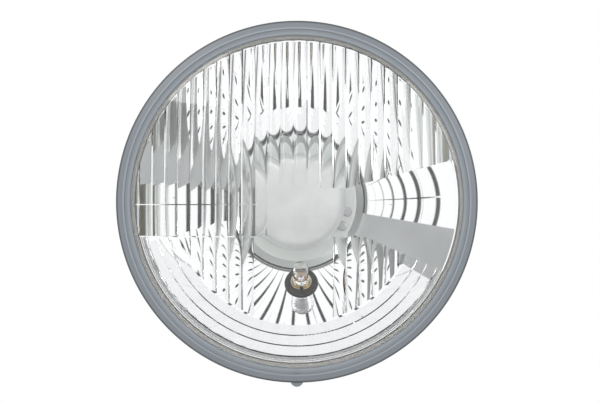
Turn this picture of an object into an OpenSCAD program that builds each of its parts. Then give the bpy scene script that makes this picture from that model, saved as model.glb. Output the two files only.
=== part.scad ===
// Round halogen headlight with a fluted glass lens, a pressed mirror and a small parking lamp.
// The origin lies on the lamp's axis, in the plane of the seal ring's rear face.
// The glass looks towards -Y and the lamp's top is +Z.

/* [Seal ring] */
// Outside diameter of the seal ring
lamp_d = 178; // [172:1:190]
// Wall of the ring outside the glass
ring_wall = 2.7; // [2.4:0.1:3.6]
// Lip behind the mirror's flange
rear_lip = 1.8; // [1.4:0.1:2.6]
// Lip in front of the glass
front_lip = 2.1; // [1.9:0.1:3]
// Width of the rear lip inside the wall
rear_lip_w = 3.8; // [3:0.1:5]
// Height of the register band at the rear
register_h = 5; // [4:0.25:6]
// Step between the register band and the outside
register_step = 0.9; // [0.8:0.1:1.2]
// Distance of the face's ridge from the outside
ridge_in = 4; // [3.6:0.1:5]
// Width of the index nub
nub_w = 6.5; // [4:0.5:9]
// How far the index nub stands out of the ring
nub_out = 2; // [1:0.25:3]
// Width of the index mark on the ring's face
mark_w = 2.8; // [2:0.1:4]

/* [Lens] */
// Radius of the dome's outer face
dome_radius = 220; // [200:5:260]
// Thickness of the dome
glass_t = 4.7; // [4.2:0.1:5.5]
// Thickness of the glass rim
rim_t = 5.5; // [5:0.1:6.5]
// Width of the glass rim's front step
rim_step = 4.5; // [4:0.1:5.5]
// Height of the dome's short upright edge
dome_edge = 0.6; // [0.3:0.1:1]
// Distance between two flutes
flute_pitch = 6.3; // [5.5:0.1:7]
// Radius of a flute's crest
flute_r = 6.5; // [5.5:0.1:9]
// Sideways shift of the middle flute
flute_shift = 1.5; // [-3:0.1:3]
// Width of the smooth lands between the zones
land_w = 0.5; // [0.3:0.1:0.9]
// Height of the seam between the upper and middle flutes
seam_y = -1.4; // [-3:0.1:0]
// Height of the step line over the lower zones
step_y = -16.9; // [-20:0.1:-14]
// Upper edge of the smooth pad
pad_top = 8.2; // [7.8:0.1:12]
// Rise of the smooth sector's upper edge
sector_rise = 14.6; // [12:0.1:15.5]
// Place where the smooth sector's lower edge starts to fall
sector_corner = 33.2; // [30:0.2:36]
// Fall of the smooth sector's lower edge
sector_fall = 24; // [18:0.5:28]
// Inner radius of the ring prisms
prism_start = 59.4; // [56:0.2:62]
// Width of one ring prism
prism_pitch = 5.3; // [4:0.1:7]
// Depth of a ring prism
prism_depth = 0.95; // [0.6:0.05:1.2]
// Slope width of a ring prism's wall
prism_draft = 0.35; // [0.2:0.05:0.5]

/* [Mirror] */
// Focal length of the mirror
focal = 26; // [25:0.5:28]
// Thickness of the mirror's sheet
sheet = 0.9; // [0.7:0.1:1.1]
// Width of the mirror's rim flange
flange_w = 7.5; // [7:0.1:8.5]
// Thickness of the sealing bead
bead_t = 1.7; // [1.2:0.1:2.4]
// Distance of the mirror's rib from the plateau
rib_gap = 4.8; // [3:0.2:8]
// Radius of the bulb hole
bulb_hole_r = 20; // [19.6:0.1:20.4]

/* [Glare shield] */
// Diameter of the shield's cap
cap_d = 48; // [46:0.5:50]
// Height of the cap's skirt
cap_skirt = 9; // [6:0.5:11]
// Radius of the cap's shoulder
cap_shoulder = 5; // [3:0.5:7]
// Thickness of the shield's sheet
shield_t = 0.8; // [0.6:0.1:1]
// Distance of the cap's open edge in front of the focus
cap_reach = 18.5; // [15:0.5:20]
// Width of a leg
leg_w = 8; // [6:0.5:9]
// Turn of the two legs
leg_angle = -20; // [-26:1:-14]
// Width of a foot
foot_w = 13; // [12:0.5:15]
// Radius of a rivet's shank
rivet_r = 1.5; // [1.2:0.1:1.6]

/* [Bulb] */
// Distance from the flange's seat to the focus
light_centre = 28.5; // [27.5:0.5:30]
// Diameter of the bulb's flange
disc_d = 43; // [42:0.5:44]
// Thickness of the bulb's flange
disc_t = 1.2; // [1:0.1:1.5]
// Reach of the three lugs from the axis
lug_r = 24.5; // [23.5:0.1:24.6]
// Diameter of the glass tube
bulb_d = 17; // [16.5:0.1:17.5]
// Length of the glass in front of the collar
bulb_len = 50; // [46:0.5:52]
// Radius of the collar
collar_r = 11; // [10.8:0.1:11.4]
// Width of a plug blade
blade_w = 8; // [7.5:0.1:8.2]
// Thickness of a plug blade
blade_t = 0.8; // [0.7:0.1:1]
// Free length of a plug blade
blade_len = 9.5; // [8:0.5:12]

/* [Carrier, clip and boot] */
// Thickness of the carrier's sheet
carrier_t = 1; // [0.8:0.1:1.2]
// Outer radius of the carrier's rim
carrier_r = 30.2; // [30:0.1:30.4]
// Radius of the clip's wire
clip_r = 0.8; // [0.7:0.05:0.9]
// Half the distance between the clip's arms
clip_half = 13; // [12.8:0.1:14]
// Wall of the boot
boot_t = 2; // [1.6:0.1:2.4]
// Height of the boot's folds
boot_wave = 1.6; // [1:0.1:2]

/* [Parking lamp] */
// Distance of the parking lamp's middle from the carrier's rim
side_gap = 11.8; // [9.8:0.1:17.8]
// Direction of the parking lamp round the axis
side_angle = -87; // [-95:1:-80]
// Radius of its hole in the mirror
side_hole_r = 7.5; // [7.2:0.1:8]
// Outer radius of the parking bulb's holder
socket_r = 5.4; // [5.3:0.1:5.6]
// Radius of the parking bulb's cap
side_cap_r = 4.5; // [4.3:0.1:4.5]
// Radius of the parking bulb's glass
side_glass_r = 3.9; // [3.6:0.1:4.3]
// Length of the parking bulb's glass
side_glass_len = 13; // [11:0.5:15]

/* [Clearances] */
// Gap between the glass and the ring's wall
rim_gap = 0.3; // [0.1:0.1:0.5]
// Gap round rivets, plugs and blades
fit_gap = 0.15; // [0.1:0.05:0.2]
// Gap round rubber parts
rubber_gap = 0.25; // [0.1:0.05:0.3]

/* [Hidden] */
$fn = 96;
fine_fn = 360;

// Radii of the rim
lamp_r = lamp_d / 2;
register_r = lamp_r - register_step;
ridge_r = lamp_r - ridge_in;
glass_rim_r = lamp_r - ring_wall - rim_gap;
dome_r = glass_rim_r - rim_step;
mouth_r = glass_rim_r - flange_w;
lens_mouth_r = mouth_r + 1;
zone_r = lens_mouth_r - 0.6;

// Levels of the rim, from the ring's rear face forwards
flange_z = rear_lip + sheet;
glass_z = flange_z + bead_t;
rim_z = glass_z + rim_t;
ring_h = rim_z + front_lip;

// The dome's centre and its smooth inner face
dome_z = rim_z + dome_edge - sqrt(dome_radius * dome_radius - dome_r * dome_r);
inner_radius = dome_radius - glass_t;
crown_z = dome_z + dome_radius;
function inner_z(r) = dome_z + sqrt(inner_radius * inner_radius - r * r);

// The flutes are circles round the dome's centre
crest_gap = 0.15;
flute_track = inner_radius + crest_gap + flute_r;
flute_sag = flute_r - sqrt(flute_r * flute_r - pow(0.56 * flute_pitch, 2));
flute_sweep = 50;
flute_count = ceil(lens_mouth_r / flute_pitch) + 1;

// The mirror's paraboloid, with a flat plateau over the bulb's carrier
function mirror_z(r) = flange_z + (r * r - mouth_r * mouth_r) / (4 * focal);
function mirror_tilt(r) = atan(r / (2 * focal));
focus_z = mirror_z(0) + focal;
plateau_r = carrier_r + 0.6;
plateau_z = mirror_z(plateau_r);
rib_centre = plateau_r + rib_gap;
rib_r = 0.7 * sheet;
mirror_steps = 24;

// The glare shield
cap_r = cap_d / 2;
cap_z = focus_z + cap_reach;
cap_tilt = 8;
cap_front_r = (cap_r - cap_shoulder) / sin(cap_tilt) + cap_shoulder;
leg_r = cap_r - 0.6;
foot_top = plateau_z + shield_t;
rivet_head_r = rivet_r + 1;
rivet_head_h = 1.1;
rivet_ring = carrier_r - carrier_t - rivet_head_r - fit_gap;
rivet_y = foot_w / 2 - rivet_head_r - 0.1;
rivet_x = sqrt(rivet_ring * rivet_ring - rivet_y * rivet_y);
foot_start = rivet_x - rivet_head_r - 0.3;
foot_end = rivet_x + rivet_head_r + 0.4;

// The bulb and its carrier
seat_z = focus_z - light_centre;
carrier_front = plateau_z - sheet;
carrier_hole_r = bulb_hole_r - 0.8;
carrier_rim_len = 7.7;
seat_flange_r = lug_r + 1;
disc_rear = seat_z - disc_t;
collar_fore = 4.6;
collar_aft = 7;
collar_front = seat_z + collar_fore;
collar_rear = seat_z - collar_aft;
collar_wall = 0.8;
collar_lip = 0.45;
collar_step = 0.8;
collar_step_t = 1;
glass_wall = 1.1;
bulb_r = bulb_d / 2;
bulb_tip = collar_front + bulb_len;
glass_floor = collar_front + 2;
base_len = 6;
base_rear = collar_rear - base_len;
blade_rear = base_rear - blade_len;
blade_front = collar_rear + 2;
blade_offset = 6.4;
blade_turns = [180, 0, 90];
lug_turns = [90, 210, 330];
lug_widths = [8, 6, 6];

// The filaments stand on both sides of the arm that they share
low_len = 5.5;
high_len = 4.5;
coil_r = 0.7;
coil_wire = 0.14;
lead_r = 0.35;
weld_gap = 0.05;
arm_z = focus_z + 0.4;
low_z = arm_z + lead_r + weld_gap;
high_z = arm_z - lead_r - weld_gap - high_len;
trough_r = 3.2;
trough_t = 0.3;
trough_z = focus_z - 0.1;
trough_len = 8;
trough_lug = [2.5, 4.5];
post = 5;
bow = 1.2;

// The wire clip
clip_z = disc_rear - clip_r - fit_gap;
clip_bend = 2;
hook_y = lug_r + 0.4;
clip_top = hook_y - clip_r - fit_gap;
pivot_in = clip_half - 4;
ear_x = clip_half - 2.6;
ear_out = ear_x + carrier_t;
ear_h = 1.8;
ear_edge = sqrt(seat_flange_r * seat_flange_r - ear_out * ear_out);
ear_reach = sqrt(carrier_r * carrier_r - ear_out * ear_out);
pivot_y = -min(ear_edge + ear_h, ear_reach - ear_h);
hook_w = 6;
hook_front = clip_z - clip_r - fit_gap;
hook_rear = hook_front - carrier_t;

// The boot
boot_in_r = carrier_r + rubber_gap;
boot_front = carrier_front - 1;
boot_back = hook_rear - 0.5 - boot_t / 2 - boot_wave;
boot_collar_r = collar_r + rubber_gap;
boot_collar_rear = base_rear + 0.6;
boot_corner = 4;

// The parking lamp, in its own frame that stands on the mirror
side_r = carrier_r + side_gap;
side_tilt = mirror_tilt(side_r);
side_cut = 6;
grommet_bore = socket_r + 0.2;
grommet_rear = -3;
socket_front = 1.9;
socket_rear = -16.5;
socket_floor = 1.5;
socket_bore = side_cap_r + rubber_gap;
side_cap_front = 3.5;
side_cap_rear = -8;
side_pin_r = 0.9;
side_pin_z = -4.6;
side_insulator_t = 1.8;
stem_r = 1.2;

function arc(cx, cy, r, a0, a1, n = 6) =
  [for (i = [0:n]) let (a = a0 + (a1 - a0) * i / n) [cx + r * cos(a), cy + r * sin(a)]];
function unit(v) = v / norm(v);
function heading(p, i) = unit(p[min(i + 1, len(p) - 1)] - p[max(i - 1, 0)]);
function bend(a, b, c, cut, n = 5) =
  let (s = b + cut * unit(a - b), e = b + cut * unit(c - b))
  [for (k = [0:n]) let (t = k / n) s * pow(1 - t, 2) + b * 2 * t * (1 - t) + e * t * t];
function rounded(p, cut) =
  [p[0], for (i = [1:len(p) - 2]) each bend(p[i - 1], p[i], p[i + 1], cut), p[len(p) - 1]];
function wire_ring(c, d, up, r, sides) =
  let (n = unit(cross(d, up)), b = cross(d, n))
  [for (k = [0:sides - 1]) let (a = 360 * k / sides) c + r * (cos(a) * n + sin(a) * b)];

// A round wire along a path, with the direction that no stretch of it follows
module wire(p, r, up, sides = 12) {
  rings = [for (i = [0:len(p) - 1]) each wire_ring(p[i], heading(p, i), up, r, sides)];
  last = (len(p) - 1) * sides;
  skin = [
    for (i = [0:len(p) - 2], k = [0:sides - 1])
      let (a = i * sides, b = a + sides, m = (k + 1) % sides)
      each [[a + k, b + k, b + m], [a + k, b + m, a + m]]
  ];
  ends = [[for (k = [0:sides - 1]) k], [for (k = [sides - 1:-1:0]) last + k]];
  polyhedron(rings, concat(skin, ends), convexity = 8);
}

// A wound filament that stands on a point of the axis
module coil(z, length, turns) {
  steps = turns * 10;
  path = [
    for (i = [0:steps])
      let (a = 360 * turns * i / steps)
      [coil_r * cos(a), coil_r * sin(a), z + coil_wire + (length - 2 * coil_wire) * i / steps]
  ];
  wire(path, coil_wire, [0, 0, 1], 6);
}

// Turns the lamp's own directions, with the glass upwards, to the model's
module in_lamp() {
  rotate([90, 0, 0]) children();
}

// A place on the axis turned round it
module turned(angle, r = 0, z = 0) {
  rotate([0, 0, angle]) translate([r, 0, z]) children();
}

// The parking lamp's frame, square to the mirror
module at_side() {
  in_lamp()
    turned(side_angle, side_r, mirror_z(side_r))
      rotate([0, -side_tilt, 0]) children();
}

// A block given by its two corners
module block(a, b) {
  translate(a) cube(b - a);
}

module ring_section() {
  lip_round = 1;
  shoulder = 1.6;
  band_drop = 0.9;
  ridge_half = 0.45;
  wall_in = lamp_r - ring_wall;
  polygon(concat(
    [
      [wall_in - rear_lip_w, 0],
      [register_r, 0],
      [register_r, register_h],
      [lamp_r, register_h + register_step]
    ],
    arc(lamp_r - shoulder, ring_h - band_drop - shoulder, shoulder, 0, 70, 5),
    arc(ridge_r, ring_h - 0.1, ridge_half, 0, 180, 6),
    arc(dome_r + lip_round, ring_h - lip_round, lip_round, 90, 180, 4),
    [
      [dome_r, rim_z],
      [wall_in, rim_z],
      [wall_in, rear_lip],
      [wall_in - rear_lip_w, rear_lip]
    ]
  ));
}

module seal_ring() {
  nub_z = register_h + register_step;
  nub_h = 4.2;
  mark_y = (dome_r + ridge_r) / 2;
  mark_h = 0.4;
  mark_half = 0.6;
  color([0.545, 0.576, 0.596]) in_lamp() {
    rotate_extrude() ring_section();
    difference() {
      translate([0, -(lamp_r + nub_out - nub_w / 2), nub_z]) cylinder(d = nub_w, h = nub_h);
      translate([0, 0, nub_z - 1]) cylinder(r = lamp_r - 1, h = nub_h + 2);
    }
    block(
      [-mark_w / 2, -mark_y - mark_half, ring_h - mark_h],
      [mark_w / 2, -mark_y + mark_half, ring_h + mark_h]
    );
  }
}

module lens_section() {
  edge = 0.5;
  difference() {
    union() {
      intersection() {
        translate([0, dome_z]) circle(r = dome_radius, $fn = fine_fn * 2);
        translate([0, glass_z + 1]) square([dome_r, crown_z]);
      }
      polygon([
        [0, glass_z],
        [glass_rim_r - edge, glass_z],
        [glass_rim_r, glass_z + edge],
        [glass_rim_r, rim_z - edge],
        [glass_rim_r - edge, rim_z],
        [0, rim_z]
      ]);
    }
    intersection() {
      translate([0, dome_z]) circle(r = inner_radius, $fn = fine_fn * 2);
      translate([-1, glass_z - 1]) square([lens_mouth_r + 1, crown_z]);
    }
  }
}

// Air between the flutes: a disc with a circle of glass for each crest
module flute_section() {
  track_in = glass_z - dome_z - 3;
  difference() {
    intersection() {
      circle(r = inner_radius + crest_gap + flute_sag + 0.25, $fn = fine_fn * 2);
      translate([track_in, -lens_mouth_r]) square([dome_radius, 2 * lens_mouth_r]);
    }
    for (k = [-flute_count:flute_count]) {
      x = flute_shift + k * flute_pitch;
      translate([sqrt(flute_track * flute_track - x * x), -x]) circle(r = flute_r);
    }
  }
}

module flute_air() {
  translate([0, 0, dome_z])
    rotate([0, -90, 0])
      rotate([0, 0, -flute_sweep / 2])
        rotate_extrude(angle = flute_sweep, $fn = fine_fn) flute_section();
}

module prism_air() {
  low = glass_z - 1;
  edges = [for (r = [prism_start:prism_pitch:zone_r - 1]) r, zone_r];
  rotate_extrude($fn = fine_fn)
    polygon([
      [edges[0], low],
      for (i = [0:len(edges) - 2])
        each [[edges[i] + prism_draft, inner_z(edges[i]) + prism_depth],
              [edges[i + 1], inner_z(edges[i + 1]) + crest_gap]],
      [zone_r, low]
    ]);
}

// A shallow groove that carries the seam across the smooth sector
module seam_air() {
  intersection() {
    rotate_extrude($fn = fine_fn) intersection() {
      translate([0, dome_z]) circle(r = inner_radius + crest_gap, $fn = fine_fn * 2);
      translate([pad_right, glass_z + 1]) square([zone_r - pad_right, crown_z]);
    }
    block([pad_right, seam_y - half_land / 2, glass_z], [lamp_r, seam_y + half_land / 2, crown_z]);
  }
}

// Outlines of the lens zones, seen from the front, which end between two flutes
function cusp(k) = flute_shift + (k - 0.5) * flute_pitch;
pad_left = cusp(-2);
pad_middle = cusp(2);
pad_right = cusp(4);
window_left = cusp(-3);
window_right = cusp(3);
sector_y = pad_right * tan(sector_rise);
function fall_y(x) = step_y - (x - sector_corner) * tan(sector_fall);
half_land = land_w / 2;

module upper_zone() {
  far = lamp_r;
  polygon([
    [-far, seam_y + half_land],
    [pad_left - half_land, seam_y + half_land],
    [pad_left - half_land, pad_top + half_land],
    [pad_middle + half_land, pad_top + half_land],
    [pad_middle + half_land, sector_y + land_w],
    [pad_right + half_land, sector_y + land_w],
    [far, far * tan(sector_rise) + land_w],
    [far, far],
    [-far, far]
  ]);
}

module middle_zone() {
  polygon([
    [-lamp_r, step_y + half_land],
    [pad_left - half_land, step_y + half_land],
    [pad_left - half_land, seam_y - half_land],
    [-lamp_r, seam_y - half_land]
  ]);
}

module lower_zone() {
  far = lamp_r;
  polygon([
    [-far, step_y - half_land],
    [sector_corner, step_y - half_land],
    [far, fall_y(far) - half_land],
    [far, -far],
    [-far, -far]
  ]);
}

// The smooth window that shows the parking lamp
module window() {
  width = window_right - window_left + land_w;
  translate([window_left - half_land, -lamp_r]) square([width, lamp_r]);
}

module zone_prism(r) {
  translate([0, 0, glass_z - 0.5])
    linear_extrude(height = crown_z)
      intersection() {
        circle(r = r, $fn = fine_fn);
        children();
      }
}

module lens() {
  color([0.93, 0.95, 0.95, 0.35]) in_lamp() difference() {
    rotate_extrude($fn = fine_fn) lens_section();
    intersection() {
      flute_air();
      zone_prism(zone_r) upper_zone();
    }
    intersection() {
      flute_air();
      zone_prism(zone_r) middle_zone();
    }
    intersection() {
      flute_air();
      zone_prism(prism_start - land_w) difference() {
        lower_zone();
        window();
      }
    }
    intersection() {
      prism_air();
      zone_prism(lamp_r) lower_zone();
    }
    seam_air();
  }
}

module sealing_bead() {
  out_r = glass_rim_r - 0.3;
  in_r = lens_mouth_r + 0.9;
  bulge = bead_t / 2;
  color([0.93, 0.92, 0.88]) in_lamp() rotate_extrude()
    polygon(concat(
      [[out_r, flange_z], [out_r, glass_z]],
      arc(in_r, flange_z + bulge, bulge, 90, 270, 6)
    ));
}

module mirror_section() {
  back_start = plateau_r + 0.6;
  back_end = mouth_r - 0.45;
  polygon(concat(
    [[bulb_hole_r, plateau_z - sheet], [bulb_hole_r, plateau_z]],
    [
      for (i = [0:mirror_steps])
        let (r = plateau_r + (mouth_r - plateau_r) * i / mirror_steps) [r, mirror_z(r)]
    ],
    [[glass_rim_r, flange_z], [glass_rim_r, rear_lip], [mouth_r + 0.6, rear_lip]],
    [
      for (i = [mirror_steps:-1:0])
        let (r = back_start + (back_end - back_start) * i / mirror_steps, a = mirror_tilt(r))
        [r + sheet * sin(a), mirror_z(r) - sheet * cos(a)]
    ],
    [[plateau_r + 0.2, plateau_z - sheet]]
  ));
}

module rivet_holes(z0, z1) {
  for (side = [0, 180], y = [-rivet_y, rivet_y])
    turned(leg_angle + side)
      translate([rivet_x, y, z0]) cylinder(r = rivet_r + fit_gap, h = z1 - z0);
}

// A stiffening rib that stops on both sides of the parking lamp
module mirror_rib() {
  difference() {
    in_lamp() rotate_extrude($fn = 180)
      translate([rib_centre, mirror_z(rib_centre) - 0.2 * sheet]) circle(r = rib_r, $fn = 24);
    at_side() translate([0, 0, -side_cut]) cylinder(r = side_hole_r + 2, h = 2 * side_cut);
  }
}

module reflector() {
  color([0.86, 0.87, 0.88]) difference() {
    union() {
      in_lamp() rotate_extrude($fn = 180) mirror_section();
      mirror_rib();
    }
    at_side() translate([0, 0, -side_cut]) cylinder(r = side_hole_r, h = 2 * side_cut);
    in_lamp() rivet_holes(plateau_z - 3, plateau_z + 3);
  }
}

module cap_section() {
  shoulder_x = cap_r - cap_shoulder;
  shoulder_z = cap_z + cap_skirt;
  front_z = shoulder_z - (cap_front_r - cap_shoulder) * cos(cap_tilt);
  polygon(concat(
    [[cap_r, cap_z]],
    arc(shoulder_x, shoulder_z, cap_shoulder, 0, 90 - cap_tilt, 8),
    arc(0, front_z, cap_front_r, 90 - cap_tilt * 0.8, 90, 4),
    arc(0, front_z, cap_front_r - shield_t, 90, 90 - cap_tilt * 0.8, 4),
    arc(shoulder_x, shoulder_z, cap_shoulder - shield_t, 90 - cap_tilt, 0, 8),
    [[cap_r - shield_t, cap_z]]
  ));
}

// A strap from the foot to the cap's skirt
module leg() {
  translate([0, leg_w / 2, 0])
    rotate([90, 0, 0]) linear_extrude(height = leg_w)
      polygon([
        [foot_start - shield_t, plateau_z],
        [foot_start, plateau_z],
        [leg_r, cap_z + 1],
        [leg_r - shield_t, cap_z + 1]
      ]);
}

module glare_shield() {
  color([0.80, 0.81, 0.81]) in_lamp() difference() {
    union() {
      rotate_extrude() cap_section();
      for (side = [0, 180]) turned(leg_angle + side) {
        leg();
        block([foot_start - shield_t, -foot_w / 2, plateau_z], [foot_end, foot_w / 2, foot_top]);
      }
    }
    rivet_holes(plateau_z - 1, foot_top + 1);
  }
}

module shield_rivets() {
  rear = carrier_front - carrier_t;
  color([0.72, 0.73, 0.74]) in_lamp()
    for (side = [0, 180], y = [-rivet_y, rivet_y])
      turned(leg_angle + side) translate([rivet_x, y, 0])
        rotate_extrude($fn = 48)
          polygon(concat(
            [
              [0, rear - rivet_head_h],
              [rivet_head_r - 0.4, rear - rivet_head_h],
              [rivet_head_r, rear - 0.5],
              [rivet_head_r, rear],
              [rivet_r, rear],
              [rivet_r, foot_top],
              [rivet_head_r, foot_top]
            ],
            arc(rivet_head_r - rivet_head_h, foot_top, rivet_head_h, 30, 90, 3),
            [[0, foot_top + rivet_head_h]]
          ));
}

module carrier_section() {
  rim_rear = carrier_front - carrier_rim_len;
  neck_r = carrier_hole_r + carrier_t;
  polygon([
    [carrier_hole_r, carrier_front],
    [carrier_r, carrier_front],
    [carrier_r, rim_rear],
    [carrier_r - carrier_t, rim_rear],
    [carrier_r - carrier_t, carrier_front - carrier_t],
    [neck_r, carrier_front - carrier_t],
    [neck_r, seat_z + carrier_t],
    [seat_flange_r, seat_z + carrier_t],
    [seat_flange_r, seat_z],
    [carrier_hole_r, seat_z]
  ]);
}

module bulb_carrier() {
  root_z = seat_z + carrier_t / 2;
  hook_half = hook_w / 2;
  stop_x = lug_widths[0] / 2 + fit_gap;
  color([0.74, 0.72, 0.62]) in_lamp() difference() {
    union() {
      rotate_extrude() carrier_section();
      block([-hook_half, hook_y, hook_rear], [hook_half, hook_y + carrier_t, root_z]);
      block([-hook_half, clip_top - 1.2, hook_rear], [hook_half, hook_y + carrier_t / 2, hook_front]);
      for (m = [0, 1]) mirror([m, 0, 0]) {
        block([ear_x, pivot_y - ear_h, clip_z - 2], [ear_out, 1 - ear_edge, root_z]);
        block([stop_x, lug_r - 2, disc_rear], [stop_x + carrier_t, lug_r, root_z]);
      }
    }
    rivet_holes(carrier_front - 3, carrier_front + 1);
    translate([-clip_half, pivot_y, clip_z])
      rotate([0, 90, 0]) cylinder(r = clip_r + fit_gap, h = 2 * clip_half, $fn = 32);
  }
}

module bulb_clip() {
  path = rounded([
    [-pivot_in, pivot_y, clip_z],
    [-clip_half, pivot_y, clip_z],
    [-clip_half, clip_top, clip_z],
    [clip_half, clip_top, clip_z],
    [clip_half, pivot_y, clip_z],
    [pivot_in, pivot_y, clip_z]
  ], clip_bend);
  color([0.66, 0.67, 0.68]) in_lamp() wire(path, clip_r, [0, 0, 1]);
}

function boot_mid(r) = boot_back - boot_wave * sin((r - boot_collar_r - boot_t) * 360 / 6.5);

module boot_section() {
  half = boot_t / 2;
  out_r = boot_in_r + boot_t;
  wave_r0 = boot_collar_r + boot_t;
  wave_r1 = out_r - boot_corner;
  waves = 20;
  step = (wave_r1 - wave_r0) / waves;
  polygon(concat(
    [[boot_in_r, boot_front], [out_r, boot_front], [out_r + 0.8, boot_front - 1.2], [out_r, boot_front - 2.4]],
    arc(wave_r1, boot_back + boot_corner - half, boot_corner, 0, -75, 5),
    [for (i = [waves - 1:-1:1]) let (r = wave_r0 + i * step) [r, boot_mid(r) - half]],
    [
      [wave_r0, boot_back - half],
      [wave_r0, boot_collar_rear],
      [boot_collar_r, boot_collar_rear],
      [boot_collar_r, boot_back + half]
    ],
    [for (i = [0:waves - 1]) let (r = wave_r0 + i * step) [r, boot_mid(r) + half]],
    arc(wave_r1, boot_back + boot_corner - half, boot_corner - boot_t, -75, 0, 5)
  ));
}

module boot() {
  tab_w = 12;
  tab_out = 8;
  tab_z = boot_front - 6;
  color([0.10, 0.10, 0.11]) in_lamp() {
    rotate_extrude() boot_section();
    for (side = [90, 270]) turned(side) difference() {
      union() {
        block([boot_in_r + boot_t / 2, -tab_w / 2, tab_z], [boot_in_r + tab_out, tab_w / 2, tab_z + boot_t]);
        translate([boot_in_r + tab_out, 0, tab_z]) cylinder(d = tab_w, h = boot_t, $fn = 48);
      }
      translate([boot_in_r + tab_out, 0, tab_z - 1]) cylinder(d = tab_w / 2, h = boot_t + 2, $fn = 48);
    }
  }
}

module bulb_disc() {
  color([0.70, 0.71, 0.72]) in_lamp() difference() {
    union() {
      translate([0, 0, disc_rear]) cylinder(d = disc_d, h = disc_t);
      for (i = [0:2]) turned(lug_turns[i])
        block([disc_d / 2 - 2, -lug_widths[i] / 2, disc_rear], [lug_r, lug_widths[i] / 2, seat_z]);
    }
    translate([0, 0, disc_rear - 1]) cylinder(r = collar_r + fit_gap, h = disc_t + 2);
  }
}

module bulb_cap() {
  lip_r = bulb_r - collar_lip;
  step_r = collar_r + collar_step;
  step_rear = disc_rear - collar_step_t;
  color([0.72, 0.73, 0.74]) in_lamp() rotate_extrude()
    polygon([
      [lip_r, collar_front],
      [collar_r, collar_front],
      [collar_r, disc_rear],
      [step_r, disc_rear],
      [step_r, step_rear],
      [collar_r, step_rear],
      [collar_r, collar_rear],
      [collar_r - collar_wall, collar_rear],
      [collar_r - collar_wall, collar_front - collar_wall],
      [lip_r, collar_front - collar_wall]
    ]);
}

module bulb_glass() {
  in_r = bulb_r - glass_wall;
  tip_c = bulb_tip - bulb_r;
  pinch = [14.4, 3.8];
  color([0.85, 0.90, 0.93, 0.4]) in_lamp() {
    rotate_extrude()
      polygon(concat(
        [[0, collar_front], [bulb_r, collar_front]],
        arc(0, tip_c, bulb_r, 0, 90, 10),
        arc(0, tip_c, in_r, 90, 0, 10),
        [[in_r, glass_floor], [0, glass_floor]]
      ));
    translate([-pinch[0] / 2, -pinch[1] / 2, collar_front - 8]) cube([pinch[0], pinch[1], 9]);
  }
}

module dip_shield() {
  side = trough_r + 1;
  in_r = trough_r - trough_t;
  color([0.55, 0.56, 0.58]) in_lamp() {
    difference() {
      translate([0, 0, trough_z]) cylinder(r = trough_r, h = trough_len, $fn = 48);
      translate([0, 0, trough_z - 1]) cylinder(r = in_r, h = trough_len + 1 - trough_t, $fn = 48);
      block([-side, -0.8, trough_z - 1], [side, side, trough_z + trough_len + 1]);
    }
    block(
      [-post - 0.3, -1.1, trough_z + trough_lug[0]],
      [-in_r + 0.1, -0.45, trough_z + trough_lug[1]]
    );
  }
}

module low_filament() {
  color([0.45, 0.45, 0.47]) in_lamp() coil(low_z, low_len, 8);
}

module high_filament() {
  color([0.45, 0.45, 0.47]) in_lamp() coil(high_z, high_len, 7);
}

module bulb_supports() {
  low_end = low_z + low_len + weld_gap;
  low_bow = low_end + bow;
  high_end = high_z - weld_gap;
  high_bow = high_end - bow;
  paths = [
    [[post, 0, glass_floor], [post, 0, low_bow], [coil_r, 0, low_bow], [coil_r, 0, low_end]],
    [[-post, 0, glass_floor], [-post, 0, trough_z + trough_lug[1] + 1]],
    [[lead_r + weld_gap - post, 0, arm_z], [coil_r, 0, arm_z]],
    [[0, -post, glass_floor], [0, -post, high_bow], [coil_r, 0, high_bow], [coil_r, 0, high_end]]
  ];
  ups = [[0, 1, 0], [0, 1, 0], [0, 1, 0], [1, 0, 0]];
  color([0.60, 0.60, 0.62]) in_lamp()
    for (i = [0:3])
      wire(len(paths[i]) > 2 ? rounded(paths[i], 0.5) : paths[i], lead_r, ups[i], 8);
}

module blade_cut(i) {
  wide = blade_w + 2 * fit_gap;
  thick = blade_t + 2 * fit_gap;
  turned(blade_turns[i]) block(
    [blade_offset - thick / 2, -wide / 2, base_rear - 1],
    [blade_offset + thick / 2, wide / 2, blade_front + 1]
  );
}

module blade(i) {
  cut = 1;
  length = blade_front - blade_rear;
  half = blade_w / 2;
  in_lamp() turned(blade_turns[i])
    translate([blade_offset - blade_t / 2, 0, blade_rear])
      rotate([90, 0, 90]) linear_extrude(height = blade_t) difference() {
        polygon([
          [-half + cut, 0], [half - cut, 0], [half, cut * 1.5],
          [half, length], [-half, length], [-half, cut * 1.5]
        ]);
        translate([0, 4]) circle(d = 2, $fn = 24);
      }
}

module bulb_insulator() {
  plug_r = collar_r - collar_wall - fit_gap;
  color([0.08, 0.08, 0.09]) in_lamp() difference() {
    rotate_extrude()
      polygon([
        [0, base_rear],
        [collar_r - 0.8, base_rear],
        [collar_r, base_rear + 0.8],
        [collar_r, collar_rear],
        [plug_r, collar_rear],
        [plug_r, blade_front],
        [0, blade_front]
      ]);
    for (i = [0:2]) blade_cut(i);
  }
}

module terminal_low() {
  color([0.78, 0.76, 0.68]) blade(2);
}

module terminal_high() {
  color([0.78, 0.76, 0.68]) blade(0);
}

module terminal_earth() {
  color([0.78, 0.76, 0.68]) blade(1);
}

module side_grommet() {
  neck_r = side_hole_r - 0.2;
  color([0.12, 0.11, 0.11]) at_side() rotate_extrude()
    polygon([
      [grommet_bore, grommet_rear],
      [side_hole_r + 2, grommet_rear],
      [side_hole_r + 2.3, grommet_rear + 0.5],
      [side_hole_r + 2, -sheet - fit_gap],
      [neck_r, -sheet - fit_gap],
      [neck_r, 0.75],
      [side_hole_r + 1.1, 0.75],
      [side_hole_r + 0.8, 1.7],
      [grommet_bore, 1.7]
    ]);
}

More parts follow.
